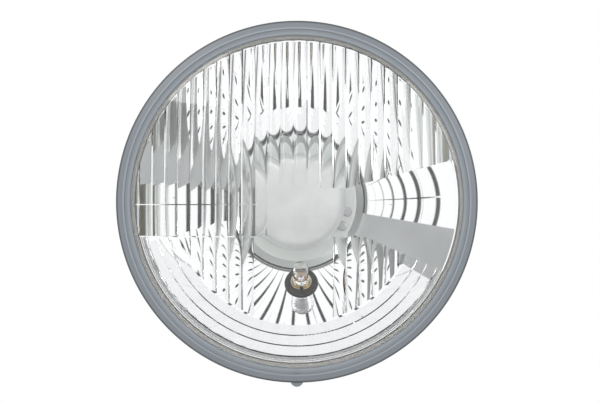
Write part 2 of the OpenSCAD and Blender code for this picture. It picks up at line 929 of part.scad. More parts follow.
module side_socket() {
  slot_w = 2 * side_pin_r + 0.4;
  slot_rear = side_pin_z - side_pin_r - 0.2;
  color([0.62, 0.60, 0.52]) at_side() difference() {
    rotate_extrude()
      polygon([
        [socket_bore, socket_front],
        [socket_r, socket_front],
        [socket_r, grommet_rear],
        [socket_r + 2, grommet_rear],
        [socket_r + 2, grommet_rear - 1.2],
        [socket_r, grommet_rear - 1.2],
        [socket_r, socket_rear],
        [2.6, socket_rear],
        [2.6, socket_rear + socket_floor],
        [socket_bore, socket_rear + socket_floor]
      ]);
    for (side = [0, 180]) turned(side)
      block([side_cap_r - 0.5, -slot_w / 2, slot_rear], [socket_r + 0.1, slot_w / 2, socket_front + 1]);
  }
}

module side_bulb_cap() {
  wall = 0.4;
  color([0.78, 0.68, 0.42]) at_side() {
    rotate_extrude()
      polygon([
        [0, side_cap_rear],
        [side_cap_r - 0.6, side_cap_rear],
        [side_cap_r, side_cap_rear + 0.6],
        [side_cap_r, side_cap_front],
        [side_cap_r - wall - 0.3, side_cap_front],
        [side_cap_r - wall - 0.3, side_cap_rear + 2],
        [0, side_cap_rear + 2]
      ]);
    for (side = [0, 180]) turned(side)
      translate([side_cap_r - 0.5, 0, side_pin_z])
        rotate([0, 90, 0]) cylinder(r = side_pin_r, h = 1.2, $fn = 24);
  }
}

module side_bulb_glass() {
  wall = 0.6;
  neck = side_cap_r - 0.4;
  z0 = side_cap_front;
  tip_c = z0 + side_glass_len - side_glass_r;
  color([0.90, 0.93, 0.94, 0.4]) at_side() rotate_extrude($fn = 64)
    polygon(concat(
      [[0, z0], [neck, z0], [neck, z0 + 0.8], [side_glass_r, z0 + 2]],
      arc(0, tip_c, side_glass_r, 0, 90, 8),
      arc(0, tip_c, side_glass_r - wall, 90, 0, 8),
      [[side_glass_r - wall, z0 + 2.2], [1.6, z0 + 1.2], [1.1, z0 + 4], [0, z0 + 4]]
    ));
}

module side_filament() {
  base = side_cap_front + 4.1;
  top = base + 3.3;
  path = rounded([
    [0, -0.6, base], [0, -1.9, top - 0.6], [0, -1.2, top], [0, 1.2, top], [0, 1.9, top - 0.6], [0, 0.6, base]
  ], 0.3);
  color([0.5, 0.5, 0.52]) at_side() wire(path, 0.14, [1, 0, 0], 6);
}

module side_insulator() {
  top = socket_rear + socket_floor;
  color([0.14, 0.12, 0.11]) at_side() rotate_extrude()
    polygon([
      [stem_r + fit_gap, socket_rear - 0.8],
      [2.4, socket_rear - 0.8],
      [2.4, top],
      [socket_bore - fit_gap, top],
      [socket_bore - fit_gap, top + side_insulator_t],
      [stem_r + fit_gap, top + side_insulator_t]
    ]);
}

module side_contact() {
  top = socket_rear + socket_floor + side_insulator_t;
  head_front = side_cap_rear - 0.3;
  color([0.80, 0.70, 0.45]) at_side() rotate_extrude($fn = 48)
    polygon([
      [0, head_front],
      [1.6, head_front],
      [2.1, head_front - 0.5],
      [2.1, top],
      [stem_r, top],
      [stem_r, socket_rear - 1.6],
      [1.9, socket_rear - 1.6],
      [1.6, socket_rear - 2.2],
      [0, socket_rear - 2.2]
    ]);
}

module side_terminal() {
  plate_z = socket_rear - 0.8;
  width = 6.3;
  color([0.78, 0.76, 0.68]) at_side() difference() {
    union() {
      block([-3.2, -width / 2, plate_z - blade_t], [3.4, width / 2, plate_z]);
      block([3.4 - blade_t, -width / 2, plate_z - 9], [3.4, width / 2, plate_z]);
    }
    translate([0, 0, plate_z - 2]) cylinder(r = stem_r + fit_gap, h = 4, $fn = 32);
  }
}

seal_ring();
lens();
sealing_bead();
reflector();
glare_shield();
shield_rivets();
bulb_carrier();
bulb_clip();
boot();
bulb_disc();
bulb_cap();
bulb_glass();
dip_shield();
low_filament();
high_filament();
bulb_supports();
bulb_insulator();
terminal_low();
terminal_high();
terminal_earth();
side_grommet();
side_socket();
side_bulb_cap();
side_bulb_glass();
side_filament();
side_contact();
side_insulator();
side_terminal();
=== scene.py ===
"""Looks of a round halogen headlight: glass, mirror, ring, shield, bulb and parking lamp."""

import logging
import math
from collections.abc import Callable
from dataclasses import dataclass
from enum import Enum

import bmesh
import bpy
import numpy as np
from mathutils import Matrix, Vector


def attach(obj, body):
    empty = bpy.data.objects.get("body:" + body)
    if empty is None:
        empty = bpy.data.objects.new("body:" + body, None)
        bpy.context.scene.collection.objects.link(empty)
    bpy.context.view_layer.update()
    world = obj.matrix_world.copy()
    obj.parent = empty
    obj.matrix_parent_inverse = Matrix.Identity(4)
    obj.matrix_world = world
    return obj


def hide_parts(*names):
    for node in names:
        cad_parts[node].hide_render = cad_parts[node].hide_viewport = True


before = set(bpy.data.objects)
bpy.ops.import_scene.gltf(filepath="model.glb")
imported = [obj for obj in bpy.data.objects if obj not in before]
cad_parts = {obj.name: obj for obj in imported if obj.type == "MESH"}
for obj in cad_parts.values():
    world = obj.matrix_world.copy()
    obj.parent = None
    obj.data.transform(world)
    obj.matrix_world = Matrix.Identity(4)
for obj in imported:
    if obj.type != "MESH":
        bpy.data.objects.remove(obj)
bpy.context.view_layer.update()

LOG = logging.getLogger("headlight")
MM = 0.001
ROOT = "root"
NUMBER = "NodeSocketFloat"
ON_AXIS = 1e-9
MARGIN = 1.0 * MM
Pair = tuple[float, float]
Triple = tuple[float, float, float]
Tree = bpy.types.NodeTree
Node = bpy.types.Node
Rule = Callable[[np.ndarray, np.ndarray], np.ndarray]
Value = float | np.ndarray


class Finish(Enum):
    """The named finishes that a piece can take."""

    RING_RUBBER = "ring_rubber"
    LENS_GLASS = "lens_glass"
    BULB_GLASS = "bulb_glass"
    SILICONE = "silicone"
    MIRROR_COAT = "mirror_coat"
    SHIELD_SHEET = "shield_sheet"
    RIVET_STEEL = "rivet_steel"
    ZINC_SHEET = "zinc_sheet"
    SPRING_WIRE = "spring_wire"
    BOOT_RUBBER = "boot_rubber"
    BULB_STEEL = "bulb_steel"
    LEAD_METAL = "lead_metal"
    TUNGSTEN = "tungsten"
    BASE_PLASTIC = "base_plastic"
    TINNED_BRASS = "tinned_brass"
    GROMMET_RUBBER = "grommet_rubber"
    CAP_BRASS = "cap_brass"
    BROWN_BOARD = "brown_board"


# Tone of the ring's rubber from the bore (0) to the outer edge (1): painted highlights on the lip's
# rounded inner edge and along the ridge, painted shade on the rounded outer edge
RING_PAINTED_LIGHT = (
    (0.0, 0.50), (0.07, 0.62), (0.15, 0.70), (0.28, 0.55), (0.43, 0.53), (0.475, 0.80),
    (0.52, 0.80), (0.56, 0.53), (0.70, 0.50), (0.80, 0.54), (0.87, 0.30), (0.92, 0.10),
    (0.95, 0.16), (0.97, 0.46), (1.0, 0.50),
)

# Scales for each metre, middles and spreads of the noise in the shared groups
FINE_SCALE = 2600.0
BROAD_SCALE = 60.0
MARK_SCALE = 420.0
CLOUD_SCALE = 90.0
DRAWN_OUT = (1.0, 1.0, 9.0)
NOISE_MIDDLE = 0.5
GLOSS_SPREAD = 0.18
GRAIN_DEPTH = 0.05 * MM
WAVE_DEPTH = 0.1 * MM

# How far a face has to look to the rear to count as the sheet's outside
REARWARD = 0.02

# Small helpers for shader nodes


def add(
    tree: Tree, kind: str, values: dict[int | str, object] | None = None, **settings: object
) -> Node:
    """Adds a shader node.

    Args:
        tree: The node tree to add to.
        kind: The node's type without its ShaderNode prefix.
        values: Input values by name or number.
        **settings: Properties of the node, such as its operation.

    Returns:
        The node.
    """
    node = tree.nodes.new("ShaderNode" + kind)
    for label, setting in settings.items():
        setattr(node, label, setting)
    for label, value in (values or {}).items():
        node.inputs[label].default_value = value
    return node


def wire(source: Node, out: int | str, target: Node, into: int | str) -> None:
    """Links an output of one node to an input of another in the same tree."""
    source.id_data.links.new(source.outputs[out], target.inputs[into])


def new_group(name: str, inputs: dict[str, float], outputs: list[str]) -> tuple[Tree, Node, Node]:
    """Starts a shader node group with named number sockets.

    Args:
        name: The group's name.
        inputs: Default of each input.
        outputs: Name of each output.

    Returns:
        The group, its input node and its output node.
    """
    group = bpy.data.node_groups.new(name, "ShaderNodeTree")
    for label, default in inputs.items():
        socket = group.interface.new_socket(name=label, in_out="INPUT", socket_type=NUMBER)
        socket.default_value = default
    for label in outputs:
        group.interface.new_socket(name=label, in_out="OUTPUT", socket_type=NUMBER)
    return group, group.nodes.new("NodeGroupInput"), group.nodes.new("NodeGroupOutput")


def new_material(name: str, values: dict[str, object]) -> tuple[bpy.types.Material, Tree, Node]:
    """Starts a material.

    Args:
        name: The material's name.
        values: Plain values of its shader's sockets.

    Returns:
        The material, its node tree and its shader.
    """
    material = bpy.data.materials.new(name)
    material.use_nodes = True
    tree = material.node_tree
    shader = tree.nodes["Principled BSDF"]
    for label, value in values.items():
        shader.inputs[label].default_value = value
    return material, tree, shader


def noise_node(tree: Tree, scale: float, detail: float, stretch: Triple = (1.0, 1.0, 1.0)) -> Node:
    """Adds a noise texture in object space.

    Args:
        tree: The node tree to add to.
        scale: Noise scale for each metre.
        detail: Noise detail.
        stretch: Scale of each axis before the noise.

    Returns:
        The noise node.
    """
    coords = add(tree, "TexCoord")
    mapping = add(tree, "Mapping", {"Scale": stretch})
    noise = add(tree, "TexNoise", {"Scale": scale, "Detail": detail})
    wire(coords, "Object", mapping, "Vector")
    wire(mapping, "Vector", noise, "Vector")
    return noise


def axis_distance(tree: Tree) -> Node:
    """Adds the distance from the lamp's axis, which is the piece's own Y axis.

    Args:
        tree: The node tree to add to.

    Returns:
        The node whose Value is the distance in metres.
    """
    coords = add(tree, "TexCoord")
    flat = add(tree, "VectorMath", {1: (1.0, 0.0, 1.0)}, operation="MULTIPLY")
    length = add(tree, "VectorMath", operation="LENGTH")
    wire(coords, "Object", flat, 0)
    wire(flat, 0, length, 0)
    return length


def bump_node(tree: Tree, shader: Node, source: Node, out: str, strength: float, depth: float) -> None:
    """Adds a bump to a shader.

    Args:
        tree: The node tree to add to.
        shader: The shader that gets the bump.
        source: The node that gives the height.
        out: The name of its output.
        strength: How strong the bump is.
        depth: Its depth in metres.
    """
    bump = add(tree, "Bump", {"Strength": strength, "Distance": depth})
    wire(source, out, bump, "Height")
    wire(bump, "Normal", shader, "Normal")


# Node groups shared by the finishes


def grain_group() -> Tree:
    """Builds the moulded grain group: fine pits, broad tone and a roughness shift.

    Returns:
        The node group.
    """
    group, start, end = new_group(
        "moulded_grain",
        {"Fine Scale": FINE_SCALE, "Broad Scale": BROAD_SCALE, "Tone": 0.06, "Roughness": 0.5},
        ["Shade", "Roughness", "Height"],
    )
    fine = noise_node(group, FINE_SCALE, 3.0)
    broad = noise_node(group, BROAD_SCALE, 4.0)
    centred = add(group, "Math", {1: NOISE_MIDDLE}, operation="SUBTRACT")
    toned = add(group, "Math", {2: 1.0}, operation="MULTIPLY_ADD")
    rough = add(group, "Math", {1: GLOSS_SPREAD}, operation="MULTIPLY_ADD")
    wire(start, "Fine Scale", fine, "Scale")
    wire(start, "Broad Scale", broad, "Scale")
    wire(broad, "Fac", centred, 0)
    wire(centred, 0, toned, 0)
    wire(start, "Tone", toned, 1)
    wire(centred, 0, rough, 0)
    wire(start, "Roughness", rough, 2)
    wire(toned, 0, end, "Shade")
    wire(rough, 0, end, "Roughness")
    wire(fine, "Fac", end, "Height")
    return group


def rolled_group() -> Tree:
    """Builds the rolled sheet group: long faint draw marks for pressed and drawn metal.

    Returns:
        The node group.
    """
    group, start, end = new_group(
        "rolled_sheet", {"Roughness": 0.3, "Spread": 0.1}, ["Shade", "Roughness", "Height"])
    marks = noise_node(group, MARK_SCALE, 3.0, DRAWN_OUT)
    cloud = noise_node(group, CLOUD_SCALE, 3.0)
    centred = add(group, "Math", {1: NOISE_MIDDLE}, operation="SUBTRACT")
    rough = add(group, "Math", operation="MULTIPLY_ADD")
    shade = add(group, "MapRange", {"From Min": 0.3, "From Max": 0.7, "To Min": 0.93, "To Max": 1.05})
    wire(marks, "Fac", centred, 0)
    wire(centred, 0, rough, 0)
    wire(start, "Spread", rough, 1)
    wire(start, "Roughness", rough, 2)
    wire(cloud, "Fac", shade, "Value")
    wire(shade, "Result", end, "Shade")
    wire(rough, 0, end, "Roughness")
    wire(marks, "Fac", end, "Height")
    return group


def ring_highlight_shade_group() -> Tree:
    """Builds the group that paints the ring's highlights and shade by the distance from the lamp's axis.

    Returns:
        The node group.
    """
    group, start, end = new_group("ring_painted_highlight_shade", {"Near": 0.08, "Far": 0.09}, ["Shade"])
    share = add(group, "MapRange")
    ramp = add(group, "ValToRGB")
    wire(axis_distance(group), "Value", share, "Value")
    wire(start, "Near", share, "From Min")
    wire(start, "Far", share, "From Max")
    wire(share, "Result", ramp, "Fac")
    wire(ramp, "Color", end, "Shade")
    # Stops of the ring's painted highlights and painted shade
    stops = ramp.color_ramp.elements
    for at, tone in RING_PAINTED_LIGHT[1:-1]:
        stops.new(at).color = (tone, tone, tone, 1.0)
    for stop, (_, tone) in ((stops[0], RING_PAINTED_LIGHT[0]), (stops[-1], RING_PAINTED_LIGHT[-1])):
        stop.color = (tone, tone, tone, 1.0)
    return group


def sheet_sides_group() -> Tree:
    """Builds the group that tells a pressed bowl's outside and its satin seat from its mirror.

    Returns:
        The node group.
    """
    group, start, end = new_group(
        "sheet_sides",
        {"Front Roughness": 0.02, "Rear Roughness": 0.4, "Seat Roughness": 0.3, "Seat Radius": 0.03},
        ["Rear", "Seat", "Roughness"],
    )
    coords = add(group, "TexCoord")
    parts = add(group, "SeparateXYZ")
    rear = add(group, "Math", {1: REARWARD}, operation="GREATER_THAN")
    seat = add(group, "Math", operation="LESS_THAN")
    front = add(group, "MapRange")
    gloss = add(group, "MapRange")
    wire(coords, "Normal", parts, 0)
    wire(parts, "Y", rear, 0)
    wire(axis_distance(group), "Value", seat, 0)
    wire(start, "Seat Radius", seat, 1)
    wire(seat, 0, front, "Value")
    wire(start, "Front Roughness", front, "To Min")
    wire(start, "Seat Roughness", front, "To Max")
    wire(rear, 0, gloss, "Value")
    wire(front, "Result", gloss, "To Min")
    wire(start, "Rear Roughness", gloss, "To Max")
    wire(rear, 0, end, "Rear")
    wire(seat, 0, end, "Seat")
    wire(gloss, "Result", end, "Roughness")
    return group


class GroupShelf:
    """Holds each shared node group, built once."""

    def __init__(self) -> None:
        """Builds the groups."""
        self.grain = grain_group()
        self.rolled = rolled_group()
        self.painted_light = ring_highlight_shade_group()
        self.sides = sheet_sides_group()

    def use(self, tree: Tree, group: Tree, values: dict[str, float]) -> Node:
        """Adds a shared group to a material.

        Args:
            tree: The material's node tree.
            group: The group to add.
            values: Values of its inputs.

        Returns:
            The group's node.
        """
        return add(tree, "Group", values, node_tree=group)


@dataclass(frozen=True)
class Coating:
    """One finish: base colour, gloss and the shared effect that varies it."""

    color: Triple
    metallic: float = 0.0
    roughness: float = 0.5
    tone: float = 0.06
    fine_scale: float = FINE_SCALE
    bump: float = 0.0
    rolled: bool = False
    sheen: float = 0.0
    # Radii between which the ring's painted highlights and painted shade run
    painted_light: Pair | None = None

    def build(self, name: str, shelf: GroupShelf) -> bpy.types.Material:
        """Makes the material with its procedural nodes.

        Args:
            name: The material's name.
            shelf: The shared node groups.

        Returns:
            The material.
        """
        material, tree, shader = new_material(
            name, {"Metallic": self.metallic, "Sheen Weight": self.sheen})
        if self.rolled:
            effect = shelf.use(tree, shelf.rolled, {"Roughness": self.roughness})
        else:
            effect = shelf.use(tree, shelf.grain, {
                "Roughness": self.roughness, "Fine Scale": self.fine_scale, "Tone": self.tone})
        shade = add(tree, "VectorMath", {0: self.color}, operation="SCALE")
        wire(effect, "Shade", shade, "Scale")
        # Paints the ring's highlights and shade into its colour by distance from the axis
        if self.painted_light:
            near, far = self.painted_light
            light_and_shade = shelf.use(tree, shelf.painted_light, {"Near": near, "Far": far})
            toned = add(tree, "VectorMath", operation="MULTIPLY")
            wire(shade, 0, toned, 0)
            wire(light_and_shade, "Shade", toned, 1)
            shade = toned
        wire(shade, 0, shader, "Base Color")
        wire(effect, "Roughness", shader, "Roughness")
        if self.bump:
            bump_node(tree, shader, effect, "Height", self.bump, GRAIN_DEPTH)
        return material


@dataclass(frozen=True)
class CoatedSheet:
    """Sheet steel with a mirror coat and a satin seat inside and its plain zinc face outside."""

    inside: Triple
    seat: Triple
    outside: Triple
    gloss: float
    rear_gloss: float
    seat_gloss: float
    seat_r: float

    def build(self, name: str, shelf: GroupShelf) -> bpy.types.Material:
        """Makes the two-faced material.

        Args:
            name: The material's name.
            shelf: The shared node groups.

        Returns:
            The material.
        """
        material, tree, shader = new_material(name, {"Metallic": 1.0})
        marks = shelf.use(tree, shelf.rolled, {"Roughness": self.rear_gloss})
        side = shelf.use(tree, shelf.sides, {
            "Front Roughness": self.gloss, "Seat Roughness": self.seat_gloss,
            "Seat Radius": self.seat_r})
        zinc = add(tree, "VectorMath", {0: self.outside}, operation="SCALE")
        face = add(tree, "Mix", {6: (*self.inside, 1.0), 7: (*self.seat, 1.0)}, data_type="RGBA")
        mix = add(tree, "Mix", data_type="RGBA")
        wire(side, "Seat", face, 0)
        wire(face, 2, mix, 6)
        wire(marks, "Shade", zinc, "Scale")
        wire(zinc, 0, mix, 7)
        wire(marks, "Roughness", side, "Rear Roughness")
        wire(side, "Rear", mix, 0)
        wire(mix, 2, shader, "Base Color")
        wire(side, "Roughness", shader, "Roughness")
        return material


@dataclass(frozen=True)
class ClearGlass:
    """Clear pressed or drawn glass with a faint waviness."""

    color: Triple
    ior: float
    wave_scale: float
    wave: float

    def build(self, name: str, shelf: GroupShelf) -> bpy.types.Material:
        """Makes the glass material.

        Args:
            name: The material's name.
            shelf: The shared node groups, which glass doesn't use.

        Returns:
            The material.
        """
        material, tree, shader = new_material(name, {
            "Base Color": (*self.color, 1.0), "Metallic": 0.0, "Roughness": 0.0,
            "Transmission Weight": 1.0, "IOR": self.ior})
        wave = noise_node(tree, self.wave_scale, 1.0)
        bump_node(tree, shader, wave, "Fac", self.wave, WAVE_DEPTH)
        return material


def rolled_metal(color: Triple, roughness: float, metallic: float = 1.0, bump: float = 0.0) -> Coating:
    """Describes bare metal with the draw marks of rolled sheet."""
    return Coating(color, metallic=metallic, roughness=roughness, rolled=True, bump=bump)


def finishes() -> dict[Finish, Coating | CoatedSheet | ClearGlass]:
    """Lists what each finish is made of.

    Returns:
        Each finish with its maker.
    """
    return {
        # The ring's rubber carries painted highlights and painted shade between these two radii
        Finish.RING_RUBBER: Coating(
            (0.41, 0.455, 0.495), roughness=0.42, tone=0.10, bump=0.10,
            painted_light=(81.4 * MM, 89.2 * MM)),
        Finish.LENS_GLASS: ClearGlass((0.997, 1.0, 0.999), ior=1.51, wave_scale=90.0, wave=0.02),
        Finish.BULB_GLASS: ClearGlass((0.998, 1.0, 1.0), ior=1.47, wave_scale=160.0, wave=0.02),
        Finish.SILICONE: Coating(
            (0.97, 0.95, 0.90), roughness=0.55, tone=0.08, fine_scale=900.0, bump=0.2),
        Finish.MIRROR_COAT: CoatedSheet(
            inside=(0.955, 0.96, 0.965), seat=(0.70, 0.73, 0.71), outside=(0.46, 0.47, 0.48),
            gloss=0.02, rear_gloss=0.4, seat_gloss=0.35, seat_r=34.4 * MM),
        Finish.SHIELD_SHEET: rolled_metal((0.83, 0.845, 0.845), 0.5, metallic=0.6),
        Finish.RIVET_STEEL: rolled_metal((0.50, 0.51, 0.52), 0.36),
        Finish.ZINC_SHEET: rolled_metal((0.68, 0.65, 0.52), 0.36, bump=0.1),
        Finish.SPRING_WIRE: rolled_metal((0.60, 0.61, 0.62), 0.26),
        Finish.BOOT_RUBBER: Coating(
            (0.022, 0.022, 0.024), roughness=0.58, tone=0.25, bump=0.3, sheen=0.1),
        Finish.BULB_STEEL: rolled_metal((0.64, 0.65, 0.66), 0.3),
        Finish.LEAD_METAL: rolled_metal((0.42, 0.43, 0.45), 0.38),
        Finish.TUNGSTEN: rolled_metal((0.30, 0.30, 0.32), 0.45),
        Finish.BASE_PLASTIC: Coating((0.022, 0.022, 0.024), roughness=0.5, tone=0.2, bump=0.25),
        Finish.TINNED_BRASS: rolled_metal((0.76, 0.72, 0.60), 0.28),
        Finish.GROMMET_RUBBER: Coating((0.030, 0.026, 0.024), roughness=0.6, tone=0.25, bump=0.3),
        Finish.CAP_BRASS: rolled_metal((0.80, 0.62, 0.34), 0.24),
        Finish.BROWN_BOARD: Coating((0.11, 0.055, 0.03), roughness=0.65, tone=0.3, bump=0.3),
    }


class PaintShop:
    """Builds every material once and puts it on pieces and CAD nodes."""

    def __init__(self) -> None:
        """Builds the shared groups and the materials."""
        shelf = GroupShelf()
        self.materials = {
            finish: maker.build(finish.value, shelf) for finish, maker in finishes().items()
        }

    def coat(self, piece: bpy.types.Object, finish: Finish) -> None:
        """Puts one finish on all of a piece.

        Args:
            piece: The object to dress.
            finish: The finish to use.
        """
        if not piece.material_slots:
            piece.data.materials.append(self.materials[finish])
        for slot in piece.material_slots:
            slot.material = self.materials[finish]

    def coat_node(self, node: str, finish: Finish) -> None:
        """Puts one finish on a CAD node that stays as it is."""
        self.coat(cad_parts[node], finish)


# Mesh making in the lamp's own directions: x right, y up, z towards the viewer


def to_row(points: np.ndarray) -> np.ndarray:
    """Turns lamp points to the row frame, where the glass looks along -Y.

    Args:
        points: Points in lamp directions.

    Returns:
        The points in the row frame.
    """
    return np.stack([points[:, 0], -points[:, 2], points[:, 1]], axis=1)


def from_row(points: np.ndarray) -> np.ndarray:
    """Turns row frame points back to lamp directions."""
    return np.stack([points[:, 0], points[:, 2], -points[:, 1]], axis=1)


def link_mesh(
    name: str, points: np.ndarray, faces: list[tuple[int, ...]], sharp: float = 35.0
) -> bpy.types.Object:
    """Makes an object from lamp points, shaded smooth up to an angle.

    Args:
        name: The piece's name.
        points: Points in lamp directions, in metres.
        faces: Point numbers of each face.
        sharp: Angle in degrees above which an edge stays sharp.

    Returns:
        The linked object.
    """
    mesh = bpy.data.meshes.new(name)
    mesh.from_pydata(to_row(np.asarray(points, float)).tolist(), [], faces)
    mesh.validate()
    piece = bpy.data.objects.new(name, mesh)
    bpy.context.scene.collection.objects.link(piece)
    smooth_by_angle(piece, sharp)
    return piece


def smooth_by_angle(piece: bpy.types.Object, sharp: float) -> None:
    """Shades a piece smooth and keeps edges above an angle sharp."""
    piece.data.shade_smooth()
    piece.data.set_sharp_from_angle(angle=math.radians(sharp))


def face_outwards(piece: bpy.types.Object) -> None:
    """Turns every face of a closed mesh outwards.

    Args:
        piece: The piece with the mesh.
    """
    work = bmesh.new()
    work.from_mesh(piece.data)
    bmesh.ops.recalc_face_normals(work, faces=work.faces)
    work.to_mesh(piece.data)
    work.free()


def lathe(name: str, profile: list[Pair], segments: int = 160, sharp: float = 35.0) -> bpy.types.Object:
    """Turns a closed outline of (radius, height) points round the lamp's axis.

    Args:
        name: The piece's name.
        profile: Outline points in metres; points on the axis have radius 0.
        segments: Steps round the axis.
        sharp: Angle in degrees above which an edge stays sharp.

    Returns:
        The turned piece, closed.
    """
    turns = np.linspace(0.0, 2.0 * math.pi, segments, endpoint=False)
    points: list[Triple] = []
    rings: list[list[int]] = []
    for radius, height in profile:
        if radius < ON_AXIS:
            rings.append([len(points)] * segments)
            points.append((0.0, 0.0, height))
            continue
        rings.append(list(range(len(points), len(points) + segments)))
        points.extend((radius * math.cos(t), radius * math.sin(t), height) for t in turns)
    faces: list[tuple[int, ...]] = []
    for k, low in enumerate(rings):
        high = rings[(k + 1) % len(rings)]
        for i in range(segments):
            j = (i + 1) % segments
            corners = list(dict.fromkeys((low[i], low[j], high[j], high[i])))
            if len(corners) > 2:
                faces.append(tuple(corners))
    piece = link_mesh(name, np.array(points), faces, sharp)
    face_outwards(piece)
    return piece


def arc(cx: float, cy: float, radius: float, start: float, end: float, steps: int) -> list[Pair]:
    """Lists the points of an arc.

    Args:
        cx: Centre along the first axis.
        cy: Centre along the second axis.
        radius: Radius of the arc.
        start: First angle in degrees.
        end: Last angle in degrees.
        steps: Number of steps.

    Returns:
        The points, both ends included.
    """
    angles = np.radians(np.linspace(start, end, steps + 1))
    return [(cx + radius * math.cos(a), cy + radius * math.sin(a)) for a in angles]


def circle(radius: float, steps: int, cx: float = 0.0, cy: float = 0.0) -> list[Pair]:
    """Lists the points of a whole circle."""
    return arc(cx, cy, radius, 0, 360, steps)[:-1]


def prism(name: str, outline: list[Pair], low: float, high: float) -> bpy.types.Object:
    """Raises a flat outline along the lamp's axis.

    Args:
        name: The piece's name.
        outline: Points (x, y), turning left.
        low: Rear level.
        high: Front level.

    Returns:
        The closed prism.
    """
    count = len(outline)
    points = [(x, y, low) for x, y in outline] + [(x, y, high) for x, y in outline]
    faces = [tuple(range(count - 1, -1, -1)), tuple(range(count, 2 * count))]
    faces += [(i, (i + 1) % count, count + (i + 1) % count, count + i) for i in range(count)]
    return link_mesh(name, np.array(points), faces)


class Cut(Enum):
    """How two closed meshes are combined."""

    TAKE = "DIFFERENCE"
    JOIN = "UNION"
    MEET = "INTERSECT"


def combine(piece: bpy.types.Object, tool: bpy.types.Object, how: Cut, keep_tool: bool = False) -> None:
    """Combines a piece with a closed tool and applies the result.

    Args:
        piece: The mesh that changes.
        tool: The mesh to combine with.
        how: The kind of combination.
        keep_tool: Whether the tool is used again.
    """
    modifier = piece.modifiers.new("combine", "BOOLEAN")
    modifier.operation = how.value
    modifier.object = tool
    modifier.solver = "MANIFOLD"
    bpy.context.view_layer.update()
    graph = bpy.context.evaluated_depsgraph_get()
    result = bpy.data.meshes.new_from_object(piece.evaluated_get(graph))
    piece.modifiers.clear()
    old = piece.data
    piece.data = result
    result.name = old.name
    bpy.data.meshes.remove(old)
    if not keep_tool:
        bpy.data.objects.remove(tool)


def agreement(one: np.ndarray, other: np.ndarray) -> np.ndarray:
    """Works out the cosines between two rows of directions."""
    return np.einsum("ij,ij->i", one, other)


def set_normals(piece: bpy.types.Object, rule: Rule) -> None:
    """Gives each face corner the direction that a rule works out.

    Args:
        piece: The piece to shade.
        rule: Takes corner points and face directions in lamp directions, gives directions.
    """
    mesh = piece.data
    mesh.shade_smooth()
    loops = len(mesh.loops)
    corner = np.zeros(loops, np.int32)
    mesh.loops.foreach_get("vertex_index", corner)
    co = np.zeros(len(mesh.vertices) * 3, np.float32)
    mesh.vertices.foreach_get("co", co)
    totals = np.zeros(len(mesh.polygons), np.int32)
    mesh.polygons.foreach_get("loop_total", totals)
    flat = np.zeros(len(mesh.polygons) * 3, np.float32)
    mesh.polygons.foreach_get("normal", flat)
    points = from_row(co.reshape(-1, 3)[corner].astype(float))
    directions = from_row(np.repeat(flat.reshape(-1, 3), totals, axis=0).astype(float))
    mesh.normals_split_custom_set(to_row(rule(points, directions)).tolist())


def place(piece: bpy.types.Object, node: str, finish: Finish, shop: PaintShop) -> None:
    """Dresses a piece that stands for a CAD node and reports it.

    Args:
        piece: The finished piece.
        node: The CAD node that it replaces.
        finish: Its finish.
        shop: The materials.
    """
    shop.coat(piece, finish)
    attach(piece, ROOT)
    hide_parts(node)
    LOG.info("%s stands for %s with %d faces", piece.name, node, len(piece.data.polygons))


@dataclass(frozen=True)
class RimSizes:
    """Sizes that the ring, the glass and the mirror share, in metres."""

    lamp_r: float = 89.0 * MM
    ring_wall: float = 2.7 * MM
    rear_lip: float = 1.8 * MM
    front_lip: float = 2.1 * MM
    sheet: float = 0.9 * MM
    bead: float = 1.7 * MM
    rim_t: float = 5.5 * MM
    rim_gap: float = 0.3 * MM
    rim_step: float = 4.5 * MM
    flange_w: float = 7.5 * MM
    mouth_step: float = 1.0 * MM

    @property
    def glass_r(self) -> float:
        """Outer radius of the glass rim."""
        return self.lamp_r - self.ring_wall - self.rim_gap

    @property
    def dome_r(self) -> float:
        """Radius of the dome's foot."""
        return self.glass_r - self.rim_step

    @property
    def mouth_r(self) -> float:
        """Radius of the mirror's mouth."""
        return self.glass_r - self.flange_w

    @property
    def lens_mouth_r(self) -> float:
        """Radius of the hollow behind the glass."""
        return self.mouth_r + self.mouth_step

    @property
    def flange_z(self) -> float:
        """Level of the mirror flange's front face."""
        return self.rear_lip + self.sheet

    @property
    def glass_z(self) -> float:
        """Level of the glass rim's rear face."""
        return self.flange_z + self.bead

    @property
    def rim_z(self) -> float:
        """Level of the glass rim's front face."""
        return self.glass_z + self.rim_t

    @property
    def ring_h(self) -> float:
        """Level of the ring's front face."""
        return self.rim_z + self.front_lip


